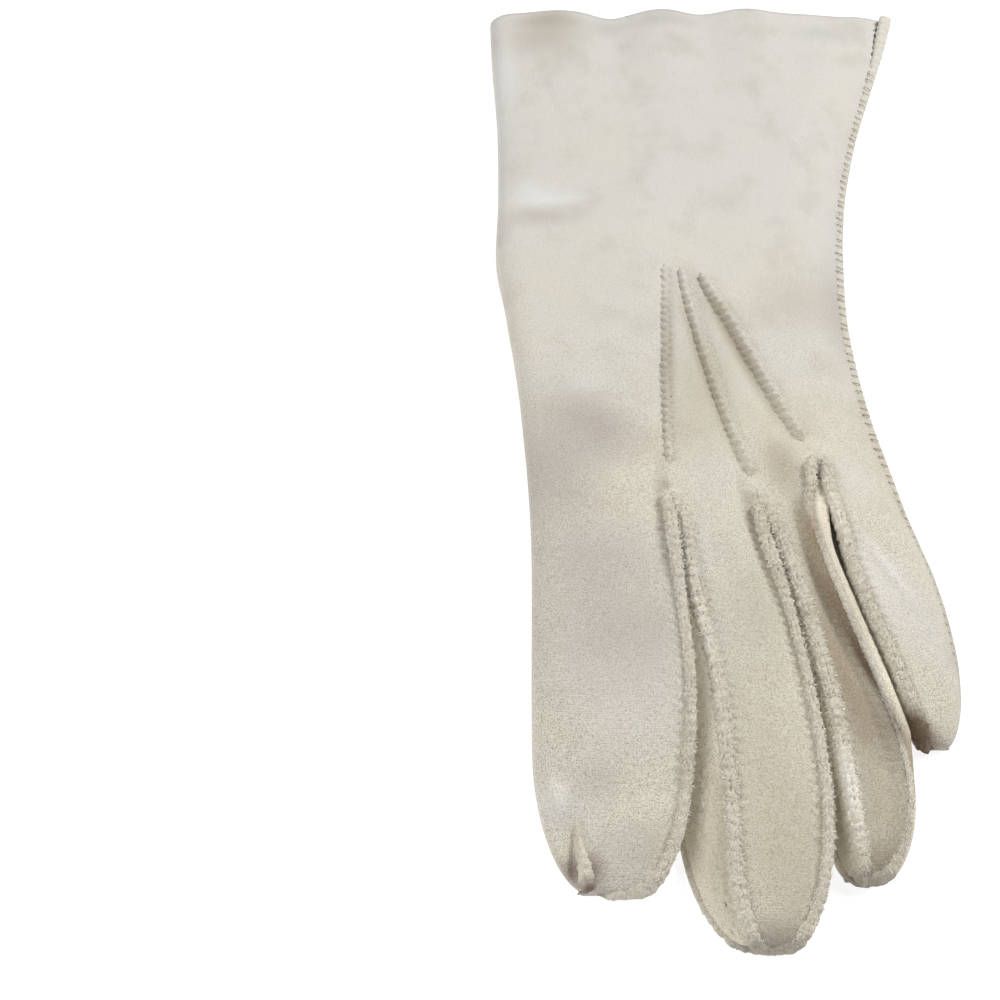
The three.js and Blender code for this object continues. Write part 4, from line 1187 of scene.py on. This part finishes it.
# THREAD_LIT is the thread's colour. THREAD_SHADED is the same thread darkened, painted shade for the outer
# seam's stitches.
THREAD_LIT = {"cool": (0.56, 0.52, 0.44), "warm": (0.54, 0.49, 0.40), "dark": (0.34, 0.29, 0.21)}
THREAD_SHADED = {"cool": (0.39, 0.36, 0.30), "warm": (0.38, 0.34, 0.28), "dark": (0.27, 0.23, 0.18)}
LOOSE = {"cool": (0.80, 0.78, 0.72), "warm": (0.80, 0.77, 0.70), "dark": (0.55, 0.49, 0.38)}

back_cloth = suede_cloth("suede_cloth_back", **CREAM, weave=0.3, nap=0.9, grainy=0.7, patches=STAINS_PAINTED_SHADE_AND_LIGHT)
wall_cloth = suede_cloth("suede_cloth_fourchette", **PALE_PAINTED_LIGHT, weave=0.3, nap=1.2, grainy=0.75,
                         patches=WALL_PAINTED_SHADE_AND_LIGHT)
edge_cloth = suede_cloth("suede_cloth_raw_edge", **RAW, weave=0.1, nap=1.4, grainy=0.5, patches=EDGE_STAINS_PAINTED_SHADE_AND_LIGHT)
thread = suede_cloth("stitch_thread", **THREAD_LIT, weave=0.0, nap=0.3, grainy=0.1)
shaded_thread = suede_cloth("stitch_thread_shaded", **THREAD_SHADED, weave=0.0, nap=0.3, grainy=0.1)
loose_fibres = suede_cloth("loose_fibres", **LOOSE, weave=0.0, nap=0.1, grainy=0.3, patches=EDGE_STAINS_PAINTED_SHADE_AND_LIGHT)
thumb_cloth = suede_cloth("suede_cloth_thumb", **CREAM, weave=0.3, nap=0.7, grainy=0.4)

build_trank(back_cloth)
build_thumb(thumb_cloth)
for fourchette in FOURCHETTES:
    build_fourchette(fourchette, wall_cloth)
finger_bands = build_finger_seams(edge_cloth)
outer_band = build_outer_seam(edge_cloth)
build_dart(edge_cloth)
palm_bands = [build_palm_seam(spec, side, edge_cloth) for spec in FOURCHETTES for side in (1, 0)]
build_points(back_cloth)
raw_edges = [{**band, "crest": RAW_EDGE["crest"]} for band in finger_bands]
fibre_tufts("edge_fibres", raw_edges + palm_bands, loose_fibres)
finger_stitches = [{**band, "pitch": STITCH_PITCH, "deep": 1.0, "slant": 1.0} for band in finger_bands]
overcast("finger_stitches", finger_stitches, thread)
overcast("outer_stitches", [{**OUTER_STITCHES, **outer_band}], shaded_thread)

# Floor, lights and camera
FLOOR_HALF = 3
CAMERA = Named(x=-53.3, y=-133.75, height=0.199, tilt=27.3, lens=37.15, sensor=36, near=0.01)

floor_mesh = bpy.data.meshes.new("floor")
corners = [(-FLOOR_HALF, -FLOOR_HALF, 0), (FLOOR_HALF, -FLOOR_HALF, 0), (FLOOR_HALF, FLOOR_HALF, 0),
           (-FLOOR_HALF, FLOOR_HALF, 0)]
floor_mesh.from_pydata(corners, [], [(0, 1, 2, 3)])
floor = bpy.data.objects.new("floor", floor_mesh)
bpy.context.scene.collection.objects.link(floor)
floor_material, floor_tree = new_material("floor")
floor_shader = floor_tree.nodes.new("ShaderNodeBsdfPrincipled")
for key, value in (("Base Color", (0.3, 0.3, 0.3)), ("Roughness", 0.9), ("Emission Color", (1, 1, 1)),
                   ("Emission Strength", 0.8)):
    plugged(floor_tree, value, floor_shader.inputs[key])
floor_out = floor_tree.nodes.new("ShaderNodeOutputMaterial")
floor_tree.links.new(floor_shader.outputs[0], floor_out.inputs["Surface"])
floor_mesh.materials.append(floor_material)


def area_light(name, place, target, size, power):
    light = bpy.data.lights.new(name, "AREA")
    light.shape = "DISK"
    light.size = size
    light.energy = power
    obj = bpy.data.objects.new(name, light)
    obj.location = place
    obj.rotation_euler = (Vector(target) - Vector(place)).to_track_quat("-Z", "Y").to_euler()
    bpy.context.scene.collection.objects.link(obj)


area_light("key", (0.50, 0.22, 0.54), (0, 0, 0), 0.30, 5.4)
area_light("fill", (-0.6, -0.1, 0.45), (0, 0, 0), 0.6, 3.6)
area_light("front", (-0.1, -0.3, 0.75), (0, -0.02, 0), 0.35, 0.9)

world = bpy.data.worlds.new("studio")
world.use_nodes = True
world.node_tree.nodes["Background"].inputs["Color"].default_value = (1, 1, 1, 1)
world.node_tree.nodes["Background"].inputs["Strength"].default_value = 0.2
bpy.context.scene.world = world
bpy.context.scene.view_settings.view_transform = "Standard"

camera_data = bpy.data.cameras.new("camera")
camera_data.sensor_width = CAMERA.sensor
camera_data.lens = CAMERA.lens
camera_data.clip_start = CAMERA.near
camera = bpy.data.objects.new("camera", camera_data)
camera.location = ((CAMERA.x + SHIFT[0]) * MM, (CAMERA.y + SHIFT[1]) * MM, CAMERA.height)
camera.rotation_euler = (math.radians(CAMERA.tilt), 0, 0)
bpy.context.scene.collection.objects.link(camera)
bpy.context.scene.camera = camera
